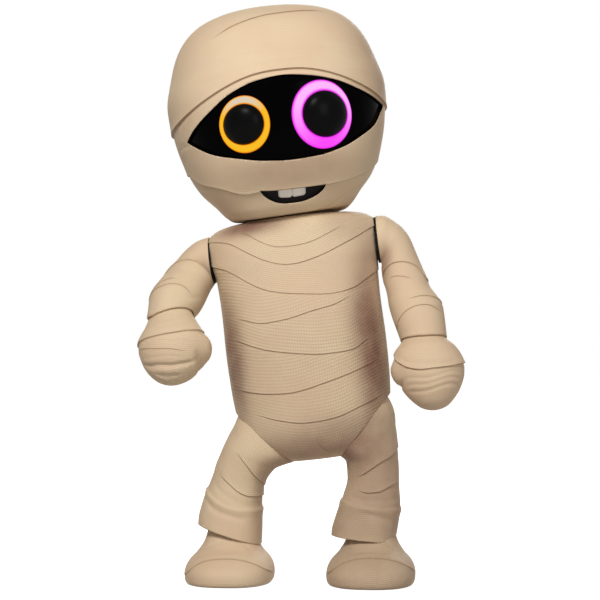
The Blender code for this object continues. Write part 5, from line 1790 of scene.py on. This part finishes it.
@dataclass(frozen=True)
class Plastic:
    """Moulded plastic, painted metal or rubber with a fine grain.

    Args:
        name: Name of the material.
        colour: Its colour.
        dark: Its colour where it is darker.
        roughness: Its least and greatest roughness.
        metallic: 1 for bare metal.
        grain: How many grains there are to a metre, about.
        depth: Height of the grain, in millimetres.
        specular: Strength of its reflections.
    """

    name: str
    colour: Colour
    dark: Colour
    roughness: tuple[float, float] = (0.4, 0.55)
    metallic: float = 0.0
    grain: float = 700.0
    depth: float = 0.04
    specular: float = 0.5

    def make(self) -> bpy.types.Material:
        """Colour goes by a broad noise, roughness and height by a fine one.

        Returns:
            The material.
        """
        nodes = Nodes(bpy.data.materials.new(self.name))
        broad, fine = nodes.noise(26.0, 3.0), nodes.noise(self.grain, 2.0)
        colour = nodes.mix(nodes.remap(broad, 0.35, 0.65), self.dark, self.colour)
        nodes.bump(fine, MM * self.depth)
        rough = nodes.remap(fine, 0.3, 0.7, *self.roughness)
        nodes.set(Base_Color=colour, Roughness=rough, Metallic=self.metallic, Specular_IOR_Level=self.specular)
        return nodes.material


@dataclass(frozen=True)
class Lamp:
    """A lit ring.

    Args:
        name: Name of the material.
        edge: Glow at the ring's two edges.
        body: Glow between them.
        pale: Painted reflection of the studio light, a pale band in the glow towards the ring's top.
        pale_from: Height, as the cosine of the way round from the top, where the painted reflection starts and is full.
        base: Colour of the ring when it is out.
    """

    name: str
    edge: Colour
    body: Colour
    pale: Colour
    pale_from: tuple[float, float]
    base: Colour = (0.02, 0.01, 0.01)

    def make(self) -> bpy.types.Material:
        """The glow goes by the share across the ring (UV `wrap` x) and by height (UV `wrap` y).
        The pale band towards the top is a painted reflection.

        Returns:
            The material.
        """
        nodes = Nodes(bpy.data.materials.new(self.name))
        across, up = nodes.uv("wrap")
        glow = nodes.ramp(across, ((0.0, self.edge), (0.16, self.body), (0.84, self.body), (1.0, self.edge)))
        inner = nodes.ramp(across, ((0.02, 0.0), (0.3, 1.0), (0.72, 1.0), (0.98, 0.0)))
        # Painted reflection: a pale band of glow towards the ring's top.
        glow = nodes.mix(nodes.times(nodes.remap(up, *self.pale_from), inner), glow, self.pale)
        nodes.set(Base_Color=self.base, Roughness=0.25, Specular_IOR_Level=0.03, Emission_Color=glow,
                  Emission_Strength=1.0)
        return nodes.material


FINISHES = (
    Gauze("gauze_body", line=0.52),
    Gauze("gauze_head", rib_depth=0.05, thread_depth=0.07, step=1.0, line=0.8),
    Gauze("gauze_limb", rib_depth=0.2, thread_depth=0.13, line=0.5),
    Plastic("pupil_black", (0.002, 0.002, 0.002), (0.001, 0.001, 0.001), (0.30, 0.34), depth=0.004, grain=90.0,
            specular=0.04),
    Plastic("visor_black", (0.0006, 0.0006, 0.0006), (0.0004, 0.0004, 0.0004), (0.14, 0.18), depth=0.004,
            grain=90.0, specular=0.012),
    Plastic("gloss_black", (0.002, 0.002, 0.002), (0.001, 0.001, 0.001), (0.22, 0.28), depth=0.006, grain=90.0,
            specular=0.045),
    Plastic("matt_black", (0.006, 0.0055, 0.0055), (0.003, 0.003, 0.003), (0.6, 0.75), specular=0.1),
    Plastic("tooth", (0.80, 0.79, 0.72), (0.72, 0.70, 0.62), (0.3, 0.4)),
    Plastic("steel", (0.56, 0.57, 0.59), (0.42, 0.43, 0.45), (0.25, 0.4), 1.0, 1500.0),
    Plastic("grey_plastic", (0.20, 0.21, 0.22), (0.16, 0.17, 0.18)),
    Plastic("white_acetal", (0.83, 0.83, 0.80), (0.74, 0.74, 0.70)),
    Plastic("motor_can", (0.62, 0.62, 0.64), (0.5, 0.5, 0.52), (0.3, 0.42), 1.0, 1200.0),
    Plastic("board", (0.03, 0.21, 0.09), (0.02, 0.14, 0.06), (0.35, 0.5)),
    Plastic("bronze", (0.56, 0.37, 0.16), (0.42, 0.26, 0.1), (0.35, 0.5), 1.0),
    Plastic("rubber", (0.03, 0.03, 0.03), (0.02, 0.02, 0.02), (0.75, 0.9), depth=0.08),
    Plastic("sole_vinyl", (0.42, 0.31, 0.21), (0.34, 0.25, 0.17), (0.65, 0.8), depth=0.1),
    # Lit rings; the pale band towards each ring's top is a painted reflection.
    Lamp("amber_lamp", (0.80, 0.14, 0.0), (0.93, 0.50, 0.01), (0.72, 0.61, 0.45), (0.45, 0.95)),
    Lamp("violet_lamp", (0.86, 0.02, 0.88), (0.96, 0.06, 0.95), (0.97, 0.47, 0.97), (-1.0, 0.5)),
)


@dataclass(frozen=True)
class Camera:
    """The photograph's viewpoint: level, at the height of the figure's waist.

    Args:
        turn: How far it stands round the figure, in degrees.
        away: Its distance.
        height: Its height.
        focal: Its focal length in pixels.
        pixels: Width of the picture.
        sensor: Width of its sensor in millimetres.
        shift: How many pixels the picture is moved, across and up.
        middle: Place that it looks at, from the neck, on the floor.
    """

    turn: float = 5.0
    away: float = 3.0
    height: float = 0.437
    focal: float = 1913.3
    pixels: int = 600
    sensor: float = 36.0
    shift: tuple[float, float] = (-3.0, 0.8)
    middle: tuple[float, float] = (0.0196, 0.0)

    def make(self) -> None:
        """Puts the camera into the scene: lens = sensor * focal length / width."""
        turn = math.radians(self.turn)
        away = np.array((math.sin(turn), -math.cos(turn))) * self.away
        data = bpy.data.cameras.new("camera")
        data.sensor_width = self.sensor
        data.lens = self.sensor * self.focal / self.pixels
        data.shift_x, data.shift_y = (step / self.pixels for step in self.shift)
        made = bpy.data.objects.new("camera", data)
        bpy.context.scene.collection.objects.link(made)
        made.location = (*(TORSO.origin[:2] + np.array(self.middle) + away), self.height)
        made.rotation_euler = (math.radians(90), 0, turn)
        bpy.context.scene.camera = made


@dataclass(frozen=True)
class Light:
    """A soft rectangular light that looks at a point of the middle line.

    Args:
        name: Its name.
        place: Where it stands, in metres.
        aim: Height that it looks at.
        size: Its width and height.
        power: Its power in watts.
        colour: Its colour.
    """

    name: str
    place: tuple[float, float, float]
    aim: float
    size: tuple[float, float]
    power: float
    colour: Colour

    def make(self) -> None:
        """Puts the light into the scene."""
        data = bpy.data.lights.new(self.name, "AREA")
        data.shape = "RECTANGLE"
        data.size, data.size_y = self.size
        data.energy = self.power
        data.color = self.colour
        made = bpy.data.objects.new(self.name, data)
        bpy.context.scene.collection.objects.link(made)
        made.location = self.place
        way = np.array((0, 0, self.aim), float) - np.array(self.place, float)
        made.rotation_euler = Vector(way).to_track_quat("-Z", "Y").to_euler()


@dataclass(frozen=True)
class Stage:
    """The white studio round the figure.

    Args:
        lights: Its lights.
        air: Light that comes from all round.
        floor: Colour of the floor.
        reach: Half the floor's width, in metres.
        glow: Distances on the floor between which its own light rises, and that light there.
    """

    lights: tuple[Light, ...] = (
        Light("key", (-0.50, -2.35, 2.35), 0.45, (0.9, 0.8), 68, (1.0, 0.985, 0.96)),
        Light("fill", (1.55, -2.4, 1.0), 0.5, (1.2, 1.2), 18, (1.0, 0.985, 0.96)),
        Light("back", (0.3, 2.9, 1.5), 0.45, (1.4, 1.2), 42, (0.96, 0.98, 1.0)),
    )
    air: Colour = (0.14, 0.108, 0.098)
    floor: Colour = (0.46, 0.45, 0.44)
    reach: float = 8.0
    glow: tuple[float, float, float, float] = (0.25, 0.6, 0.93, 1.0)

    @staticmethod
    def seen(nodes: Nodes) -> Socket:
        """1 for what the camera, a reflection or a clear piece sees, else 0.

        Args:
            nodes: The node tree that asks.

        Returns:
            The value.
        """
        path = nodes.add("ShaderNodeLightPath").outputs
        seen = nodes.math(Blend.MAXIMUM, path["Is Camera Ray"], path["Is Glossy Ray"])
        return nodes.math(Blend.MAXIMUM, seen, path["Is Transmission Ray"])

    def make_world(self) -> None:
        """White to the eye, dim to the figure."""
        world = bpy.data.worlds.new("studio")
        bpy.context.scene.world = world
        nodes = Nodes(world)
        background = nodes.tree.nodes["Background"]
        nodes.put(nodes.mix(self.seen(nodes), self.air, (1.0, 1.0, 1.0)), background.inputs["Color"])
        nodes.put(1.0, background.inputs["Strength"])

    def make_floor(self) -> None:
        """A pale floor, whose own light hides its far edge but lets the figure's shadow fall."""
        corners = [(x * self.reach, y * self.reach, 0) for x, y in ((-1, -1), (1, -1), (1, 1), (-1, 1))]
        floor = new_object("floor", corners, [(0, 1, 2, 3)])
        nodes = Nodes(bpy.data.materials.new("pale_floor"))
        way = nodes.add("ShaderNodeVectorMath", operation="LENGTH")
        nodes.put(nodes.add("ShaderNodeTexCoord").outputs["Object"], way.inputs[0])
        light = nodes.add("ShaderNodeEmission")
        nodes.put((1, 1, 1, 1), light.inputs["Color"])
        nodes.put(nodes.times(nodes.remap(way.outputs["Value"], *self.glow), self.seen(nodes)),
                  light.inputs["Strength"])
        total = nodes.add("ShaderNodeAddShader")
        nodes.put(nodes.shader.outputs[0], total.inputs[0])
        nodes.put(light.outputs[0], total.inputs[1])
        nodes.put(total.outputs[0], nodes.tree.nodes["Material Output"].inputs["Surface"])
        nodes.set(Base_Color=self.floor, Roughness=0.95)
        floor.data.materials.append(nodes.material)

    def make(self) -> None:
        """World, floor and lights."""
        self.make_world()
        self.make_floor()
        for light in self.lights:
            light.make()


def smooth_outline(points: Knots, count: int) -> list[tuple[float, float]]:
    """A closed smooth outline.

    Args:
        points: Points that it goes through.
        count: Number of points to make.

    Returns:
        Its points.
    """
    points = np.asarray(points, float)
    ring = np.concatenate([points[-3:], points, points[:3]])
    way = np.concatenate([[0], np.cumsum(np.linalg.norm(np.diff(ring, axis=0), axis=1))])
    at = np.linspace(way[3], way[-3], count, endpoint=False)
    return [tuple(point) for point in pchip(way, ring, at)]


@dataclass(frozen=True)
class Screws:
    """Case screws in the back of a shell.

    Args:
        places: Lateral places and heights.
        tip: Depth where their holes end.
        hole: Radius of a hole.
        seat: Radius of the seat of a head.
        sunk: How deep the seat is.
    """

    places: Knots
    tip: float
    hole: float = 2.3
    seat: float = 4.3
    sunk: float = 1.5

    def openings(self, shell: Shell) -> list[Solid]:
        """What they take out of a shell.

        Args:
            shell: The shell.

        Returns:
            Solids of the holes and their seats.
        """
        solids = []
        for x, z in self.places:
            surface = float(shell.front(x, z))
            solids.append(column(ring_outline(x, z, self.hole, 16), self.tip, surface + 6))
            solids.append(column(ring_outline(x, z, self.seat, 24), surface - self.sunk, surface + 8))
        return solids


@dataclass(frozen=True)
class Torso:
    """The torso's shell and the battery door in its back.

    Args:
        hip: Lateral place and height of the upper and the lower end of each hip's slanted cut.
        shaft: Height and radius of the hole for the shoulder shafts.
        door: Half width, lowest and highest height of the battery door.
        switch: Half width, half height and height of the switch's slot.
        grille: Height, radius and number of holes of the speaker's grille, and radius of a hole.
        door_screw: How far below the door's top its screw sits.
        door_gap: Gap round the door.
        behind: Depths between which the cuts of the back are made.
        screws: Its case screws.
        wall: Thickness of the skin.
        pitch: Distance between the grid's rows, about.
    """

    hip: tuple[tuple[float, float], tuple[float, float]] = ((120, -292), (49, -364.5))
    shaft: tuple[float, float] = (-50, 8)
    door: tuple[float, float, float] = (56, -200, -132)
    switch: tuple[float, float, float] = (4.3, 9.3, -104)
    grille: tuple[float, float, int, float] = (-245, 12, 8, 2.5)
    door_screw: float = 8.5
    door_gap: float = 0.5
    behind: tuple[float, float] = (50, 130)
    screws: Screws = Screws(((-44, -74), (44, -74), (-44, -284), (44, -284)), 40)
    wall: float = 3.0
    pitch: float = 2.5

    def sides(self) -> list[Solid]:
        """What both halves leave open.

        Returns:
            Solids of the two hips and of the two shoulder shafts.
        """
        (top_x, top_z), (low_x, low_z) = self.hip
        slope = (top_z - low_z) / (top_x - low_x)
        solids = []
        for side in Side:
            sign = side.value
            outline = [
                (sign * (top_x + 200), top_z + 200 * slope), (sign * (low_x - 30), low_z - 30 * slope),
                (sign * (low_x - 30), low_z - 200), (sign * (top_x + 200), low_z - 200),
            ]
            solids.append(column(outline, -150, 150))
        height, radius = self.shaft
        bar = ring_outline(0, height, radius)
        return solids + [column(bar, start, end, Axis.X) for start, end in ((-160, -100), (100, 160))]

    def block(self, gap: float = 0.0) -> Solid:
        """The battery door's block, smaller all round by a gap."""
        half, low, high = self.door
        return box_points((-half + gap, self.behind[0], low + gap), (half - gap, self.behind[1], high - gap))

    def back(self) -> list[Solid]:
        """What the back leaves open.

        Returns:
            Solids of the door, the switch, the speaker's grille and the case screws.
        """
        near, far = self.behind
        half, tall, middle = self.switch
        slot = box_points((-half, near, middle - tall), (half, far, middle + tall))
        height, radius, count, hole = self.grille
        grille = [(0.0, float(height))] + ring_outline(0, height, radius, count)
        grille = [column(ring_outline(x, z, hole, 20), near, far) for x, z in grille]
        return [self.block(), slot] + grille + self.screws.openings(TORSO_SHELL)

    def door_piece(self, shell: Piece) -> Piece:
        """Cuts the door from a copy of the back, so that its wrapping runs on, and dresses it.

        Args:
            shell: The back, still uncut.

        Returns:
            The door.
        """
        door = shell.copy()
        door.data = shell.data.copy()
        door.name = "battery_door_wrap"
        bpy.context.scene.collection.objects.link(door)
        height = self.door[2] - self.door_screw
        surface = float(TORSO_SHELL.front(0, height))
        near, far = self.behind
        cut(door, [self.block(self.door_gap)], TORSO, Keep.INSIDE)
        cut(door, [column(ring_outline(0, height, self.screws.hole, 16), near, far),
                   column(ring_outline(0, height, self.screws.seat, 24), surface - self.screws.sunk, far)], TORSO)
        return dress(door, "battery_door", "skin", "battery_door")

    def pieces(self, finishes: Materials) -> Pieces:
        """Builds and dresses the two halves and the door.

        Args:
            finishes: Every material by name.

        Returns:
            The made pieces.
        """
        made = []
        for half in Half:
            sheet = TORSO_SHELL.half(TORSO_WRAP, half, self.pitch)
            shell = build(f"torso_{half.label}_wrap", [sheet], TORSO, finishes["gauze_body"], self.wall)
            if half is Half.BACK:
                made.append(self.door_piece(shell))
            cut(shell, self.sides() + (self.back() if half is Half.BACK else []), TORSO)
            made.append(dress(shell, "torso", "skin", f"torso_{half.label}_shell"))
        return made


def plain_sheet(points: Array, closed: bool = False, caps: tuple[End, ...] = (), places: Array | None = None) -> Sheet:
    """A sheet without wrapping, its angle and height counted over the grid.

    Args:
        points: Its grid of points.
        closed: Whether the last column is the first one again.
        caps: Ends closed by one face.
        places: What UV map `wrap` holds.

    Returns:
        The sheet.
    """
    rows, columns = points.shape[:2]
    angle = np.broadcast_to(np.linspace(-90, 90, columns), (rows, columns))
    along = np.broadcast_to(np.linspace(1, 0, rows)[:, None], (rows, columns))
    return Sheet(points, angle, along, closed=closed, caps=caps, places=places)


@dataclass(frozen=True)
class Head:
    """The head's shell.

    Args:
        eyes: Lateral place, lower and upper edge of the eye opening.
        mouth: Outline of the mouth opening.
        screws: Its case screws.
        wall: Thickness of the skin.
        pitch: Distance between the grid's rows, about.
    """

    eyes: Sequence[tuple[float, float, float]] = (
        (-149, 129, 131), (-140, 120, 143), (-112, 101.5, 167), (-80, 91.5, 188), (-40, 83, 202), (0, 80, 206.5),
        (40, 82, 202), (80, 91, 192), (115, 107.5, 177), (140, 125, 165), (152, 143, 158), (158, 153, 155),
    )
    mouth: Knots = (
        (-51, 41.5), (-46, 34), (-36, 26), (-26, 21), (-14, 18.5), (0, 18), (14, 19), (26, 22), (38, 27), (46, 33),
        (51, 40), (19, 39), (-24, 39),
    )
    screws: Screws = Screws(((-60, 60), (60, 60)), 80)
    wall: float = 3.5
    pitch: float = 2.6

    def eye_edges(self, margin: float, columns: int) -> tuple[Array, Array, Array]:
        """The eye opening, read at even turns of a half circle over its width, so that its ends are finer.

        Args:
            margin: How far the edges are widened.
            columns: Number of places.

        Returns:
            Lateral places and the two edges there.
        """
        rows = np.array(self.eyes, float)
        turn = np.linspace(0, math.pi, columns)
        left, right = rows[0, 0], rows[-1, 0]
        across = (left + right) / 2 - (right - left) / 2 * np.cos(turn)
        low, high = (pchip(rows[:, 0], rows[:, i], across) for i in (1, 2))
        return across, low - margin, high + margin

    def openings(self) -> list[Solid]:
        """What the front leaves open.

        Returns:
            Solids of the eye opening and the mouth.
        """
        across, low, high = self.eye_edges(0.0, 90)
        eyes = [*zip(across, low), *zip(across[-2:0:-1], high[-2:0:-1])]
        return [column(eyes, -200, -20), column(smooth_outline(self.mouth, 110), -200, -40)]

    def pieces(self, finishes: Materials) -> Pieces:
        """Builds and dresses the two halves.

        Args:
            finishes: Every material by name.

        Returns:
            The made pieces.
        """
        made = []
        for half in Half:
            sheet = HEAD_SHELL.half(HEAD_WRAP, half, self.pitch)
            shell = build(f"head_{half.label}_wrap", [sheet], HEAD, finishes["gauze_head"], self.wall)
            cut(shell, self.openings() if half is Half.FRONT else self.screws.openings(HEAD_SHELL), HEAD)
            made.append(dress(shell, "head", "skin", f"head_{half.label}_shell"))
        return made


@dataclass(frozen=True)
class Eye:
    """A lit ring and the pupil dome inside it.

    Args:
        name: The lamp's colour.
        middle: Lateral place and height of the ring's middle.
        ring: Half width and half height of the ring's outer edge.
        pupil: Half width and half height of the pupil.
        shift: How far the pupil sits to the side.
        dome: How far the pupil stands out of the ring.
        proud: How far the ring stands out of its seat.
        seat: Depth of its seat in the skin.
        wall: Thickness of the ring.
    """

    name: str
    middle: tuple[float, float]
    ring: tuple[float, float]
    pupil: tuple[float, float]
    shift: float
    dome: float
    proud: float = 2.4
    seat: float = 4.25
    wall: float = 0.8

    @cached_property
    def turn(self) -> Array:
        """Angles round the eye."""
        return np.linspace(-math.pi, math.pi, 145)

    @cached_property
    def ground(self) -> Shell:
        """The head's outside, moved in to the seat."""
        return HEAD_SHELL.inset(self.seat)

    def oval(self, wide: float, tall: float, lift: float, share: float = 1.0) -> Array:
        """An oval on the seat: middle + shift * share + half size * sine and cosine.

        Args:
            wide: Its half width.
            tall: Its half height.
            lift: How far it is lifted off the seat.
            share: How far it is moved from the ring's middle to the pupil's.

        Returns:
            Its points.
        """
        x = self.middle[0] + share * self.shift + wide * np.sin(self.turn)
        z = self.middle[1] + tall * np.cos(self.turn)
        return np.stack([x, -self.ground.front(x, z) - lift, z], axis=1)

    def ring_sheet(self) -> Sheet:
        """The ring, ovals from its outer edge to the pupil, lifted by proud * (1 - |2 share - 1|^3.5) and a low arch.

        Returns:
            The sheet.
        """
        shares = np.linspace(0, 1, 26)
        rows = []
        for share in shares:
            wide, tall = (edge + (pupil + 0.4 - edge) * share for edge, pupil in zip(self.ring, self.pupil))
            lift = self.proud * (1 - abs(2 * share - 1) ** 3.5) + 0.3 + 1.2 * math.sin(math.pi * share)
            rows.append(self.oval(wide, tall, lift, share))
        places = np.stack(np.broadcast_arrays(shares[:, None], np.cos(self.turn)[None]), axis=-1)
        return plain_sheet(np.array(rows), closed=True, places=places)

    def dome_sheet(self) -> Sheet:
        """The pupil, ovals that shrink and rise by dome * the root of 1 - share^2.

        Returns:
            The sheet.
        """
        wide, tall = self.pupil
        rows = [self.oval(wide, tall, 0.0)]
        for share in np.sin(np.linspace(0.01, math.pi / 2, 30))[::-1]:
            lift = self.proud + self.dome * math.sqrt(max(1 - share ** 2, 0))
            rows.append(self.oval(wide * share, tall * share, lift))
        rows.append(self.oval(0.05, 0.05, self.proud + self.dome))
        return plain_sheet(np.array(rows), closed=True, caps=(End.FIRST, End.LAST))

    def pieces(self, finishes: Materials) -> Pieces:
        """Builds and dresses the ring and the pupil.

        Args:
            finishes: Every material by name.

        Returns:
            The made pieces.
        """
        lamp = f"{self.name}_lamp"
        ring = build(f"{self.name}_ring", [self.ring_sheet()], HEAD, finishes[lamp], self.wall)
        dress(ring, "head", lamp, f"{self.name}_eye_ring")
        dome = build(f"{self.name}_dome", [self.dome_sheet()], HEAD, finishes["pupil_black"])
        return [ring, dress(dome, "head", "gloss_black", f"{self.name}_pupil")]


@dataclass(frozen=True)
class Face:
    """Visor, mouth plate, eyes and teeth, all behind the skin of the head.

    Args:
        head: The head that they sit in.
        eyes: The two eyes.
        skin: Depth of the seats below the head's outside.
        overlap: How far the visor reaches behind the edge of its opening, and its widest lateral place.
        plate: Half width, lowest and highest height of the mouth plate.
        teeth: Left, right, lowest and highest edge of the teeth.
        gap: Lateral place of the gap between the teeth.
        teeth_proud: How far they stand out.
        wall: Thickness of the visor and the plate, and of the teeth.
    """

    head: Head = Head()
    eyes: tuple[Eye, ...] = (
        Eye("amber", (-63.2, 140.6), (37.5, 42.3), (29.7, 29.6), -1.6, 14),
        Eye("violet", (53.8, 142.6), (46.3, 51), (34.2, 34.2), 4.6, 16),
    )
    skin: float = 4.7
    overlap: tuple[float, float] = (7.0, 158)
    plate: tuple[float, float, float] = (62, 10.0, 50.0)
    teeth: tuple[float, float, float, float] = (-23, 19, 27, 38.4)
    gap: float = -2.0
    teeth_proud: float = 2.6
    wall: tuple[float, float] = (2.5, 0.6)

    def patch(self, across: Array, low: Array, high: Array, rows: int) -> Sheet:
        """A patch of the head's front, moved in to the seats.

        Args:
            across: Lateral places of its columns.
            low: Its lower edge there.
            high: Its upper edge.
            rows: Number of its rows.

        Returns:
            The sheet, from the top down.
        """
        share = np.linspace(0, 1, rows)[:, None]
        z = high[None] * (1 - share) + low[None] * share
        x = np.repeat(across[None], rows, axis=0)
        return plain_sheet(np.stack([x, -HEAD_SHELL.inset(self.skin).front(x, z), z], axis=2))

    def visor(self) -> Sheet:
        """The visor, as wide as its opening and a margin."""
        across, low, high = self.head.eye_edges(self.overlap[0], 120)
        return self.patch(np.clip(across * 1.03, -self.overlap[1], self.overlap[1]), low, high, 50)

    def mouth_plate(self) -> Sheet:
        """The plate behind the mouth."""
        half, low, high = self.plate
        return self.patch(np.linspace(-half, half, 60), np.full(60, low), np.full(60, high), 24)

    def teeth_sheet(self) -> Sheet:
        """Two joined teeth: they stand out by proud * (1 - exp(-(edge / 1.3)^1.4)), edge being the way to a side.

        Returns:
            The sheet.
        """
        left, right, bottom, top = self.teeth
        across = np.linspace(left, right, 90)
        edge = np.minimum(np.abs(across - self.gap), np.minimum(across - left, right - across))
        rise = 2.6 * np.exp(-(edge / 1.6) ** 1.5)
        share = np.linspace(0, 1, 40)[:, None]
        low = bottom + rise + 0.012 * (across - self.gap) ** 2 * 0.3
        z = top * (1 - share) + low[None] * share
        x = np.repeat(across[None], 40, axis=0)
        proud = self.teeth_proud * (1 - np.exp(-(edge[None] / 1.3) ** 1.4)) * (1 - share ** 8 * 0.7)
        return plain_sheet(np.stack([x, -HEAD_SHELL.inset(self.skin - 0.3).front(x, z) - proud, z], axis=2))

    def pieces(self, finishes: Materials) -> Pieces:
        """Builds and dresses the face.

        Args:
            finishes: Every material by name.

        Returns:
            The made pieces.
        """
        thick, thin = self.wall
        visor = build("visor", [self.visor()], HEAD, finishes["visor_black"], thick)
        made = [dress(visor, "head", "gloss_black", "eye_visor")]
        plate = build("mouth_back", [self.mouth_plate()], HEAD, finishes["matt_black"], thick)
        made.append(dress(plate, "head", "matt_black", "mouth_plate"))
        for eye in self.eyes:
            made.extend(eye.pieces(finishes))
        teeth = build("teeth", [self.teeth_sheet()], HEAD, finishes["tooth"], thin)
        return made + [dress(teeth, "head", "tooth", "front_teeth")]


SLOT_FINISHES = {"skin": "gauze_body"}


def dress_nodes(finishes: Materials) -> None:
    """Gives every CAD node that stays the finish of its record slot.

    Args:
        finishes: Every material by name.
    """
    for part in frame["record"]["subparts"]:
        target = bpy.data.objects.get(part["node"])
        slot = part["material_slot"]
        if target is not None and target.type == "MESH":
            for place in target.material_slots:
                place.material = finishes[SLOT_FINISHES.get(slot, slot)]


def main() -> None:
    """Builds the stage, the camera and every sub-assembly in order."""
    logging.basicConfig(level=logging.INFO)
    bpy.context.scene.view_settings.view_transform = "Standard"
    finishes = {finish.name: finish.make() for finish in FINISHES}
    Stage().make()
    Camera().make()
    head = Head()
    pieces = []
    for assembly in (Torso(), head, Face(head), *limbs(Side.RIGHT), *limbs(Side.LEFT)):
        pieces.extend(assembly.pieces(finishes))
    dress_nodes(finishes)
    LOG.info("pieces: %d, faces: %d", len(pieces), sum(len(piece.data.polygons) for piece in pieces))
    bpy.context.view_layer.update()


if __name__ == "__main__":
    main()
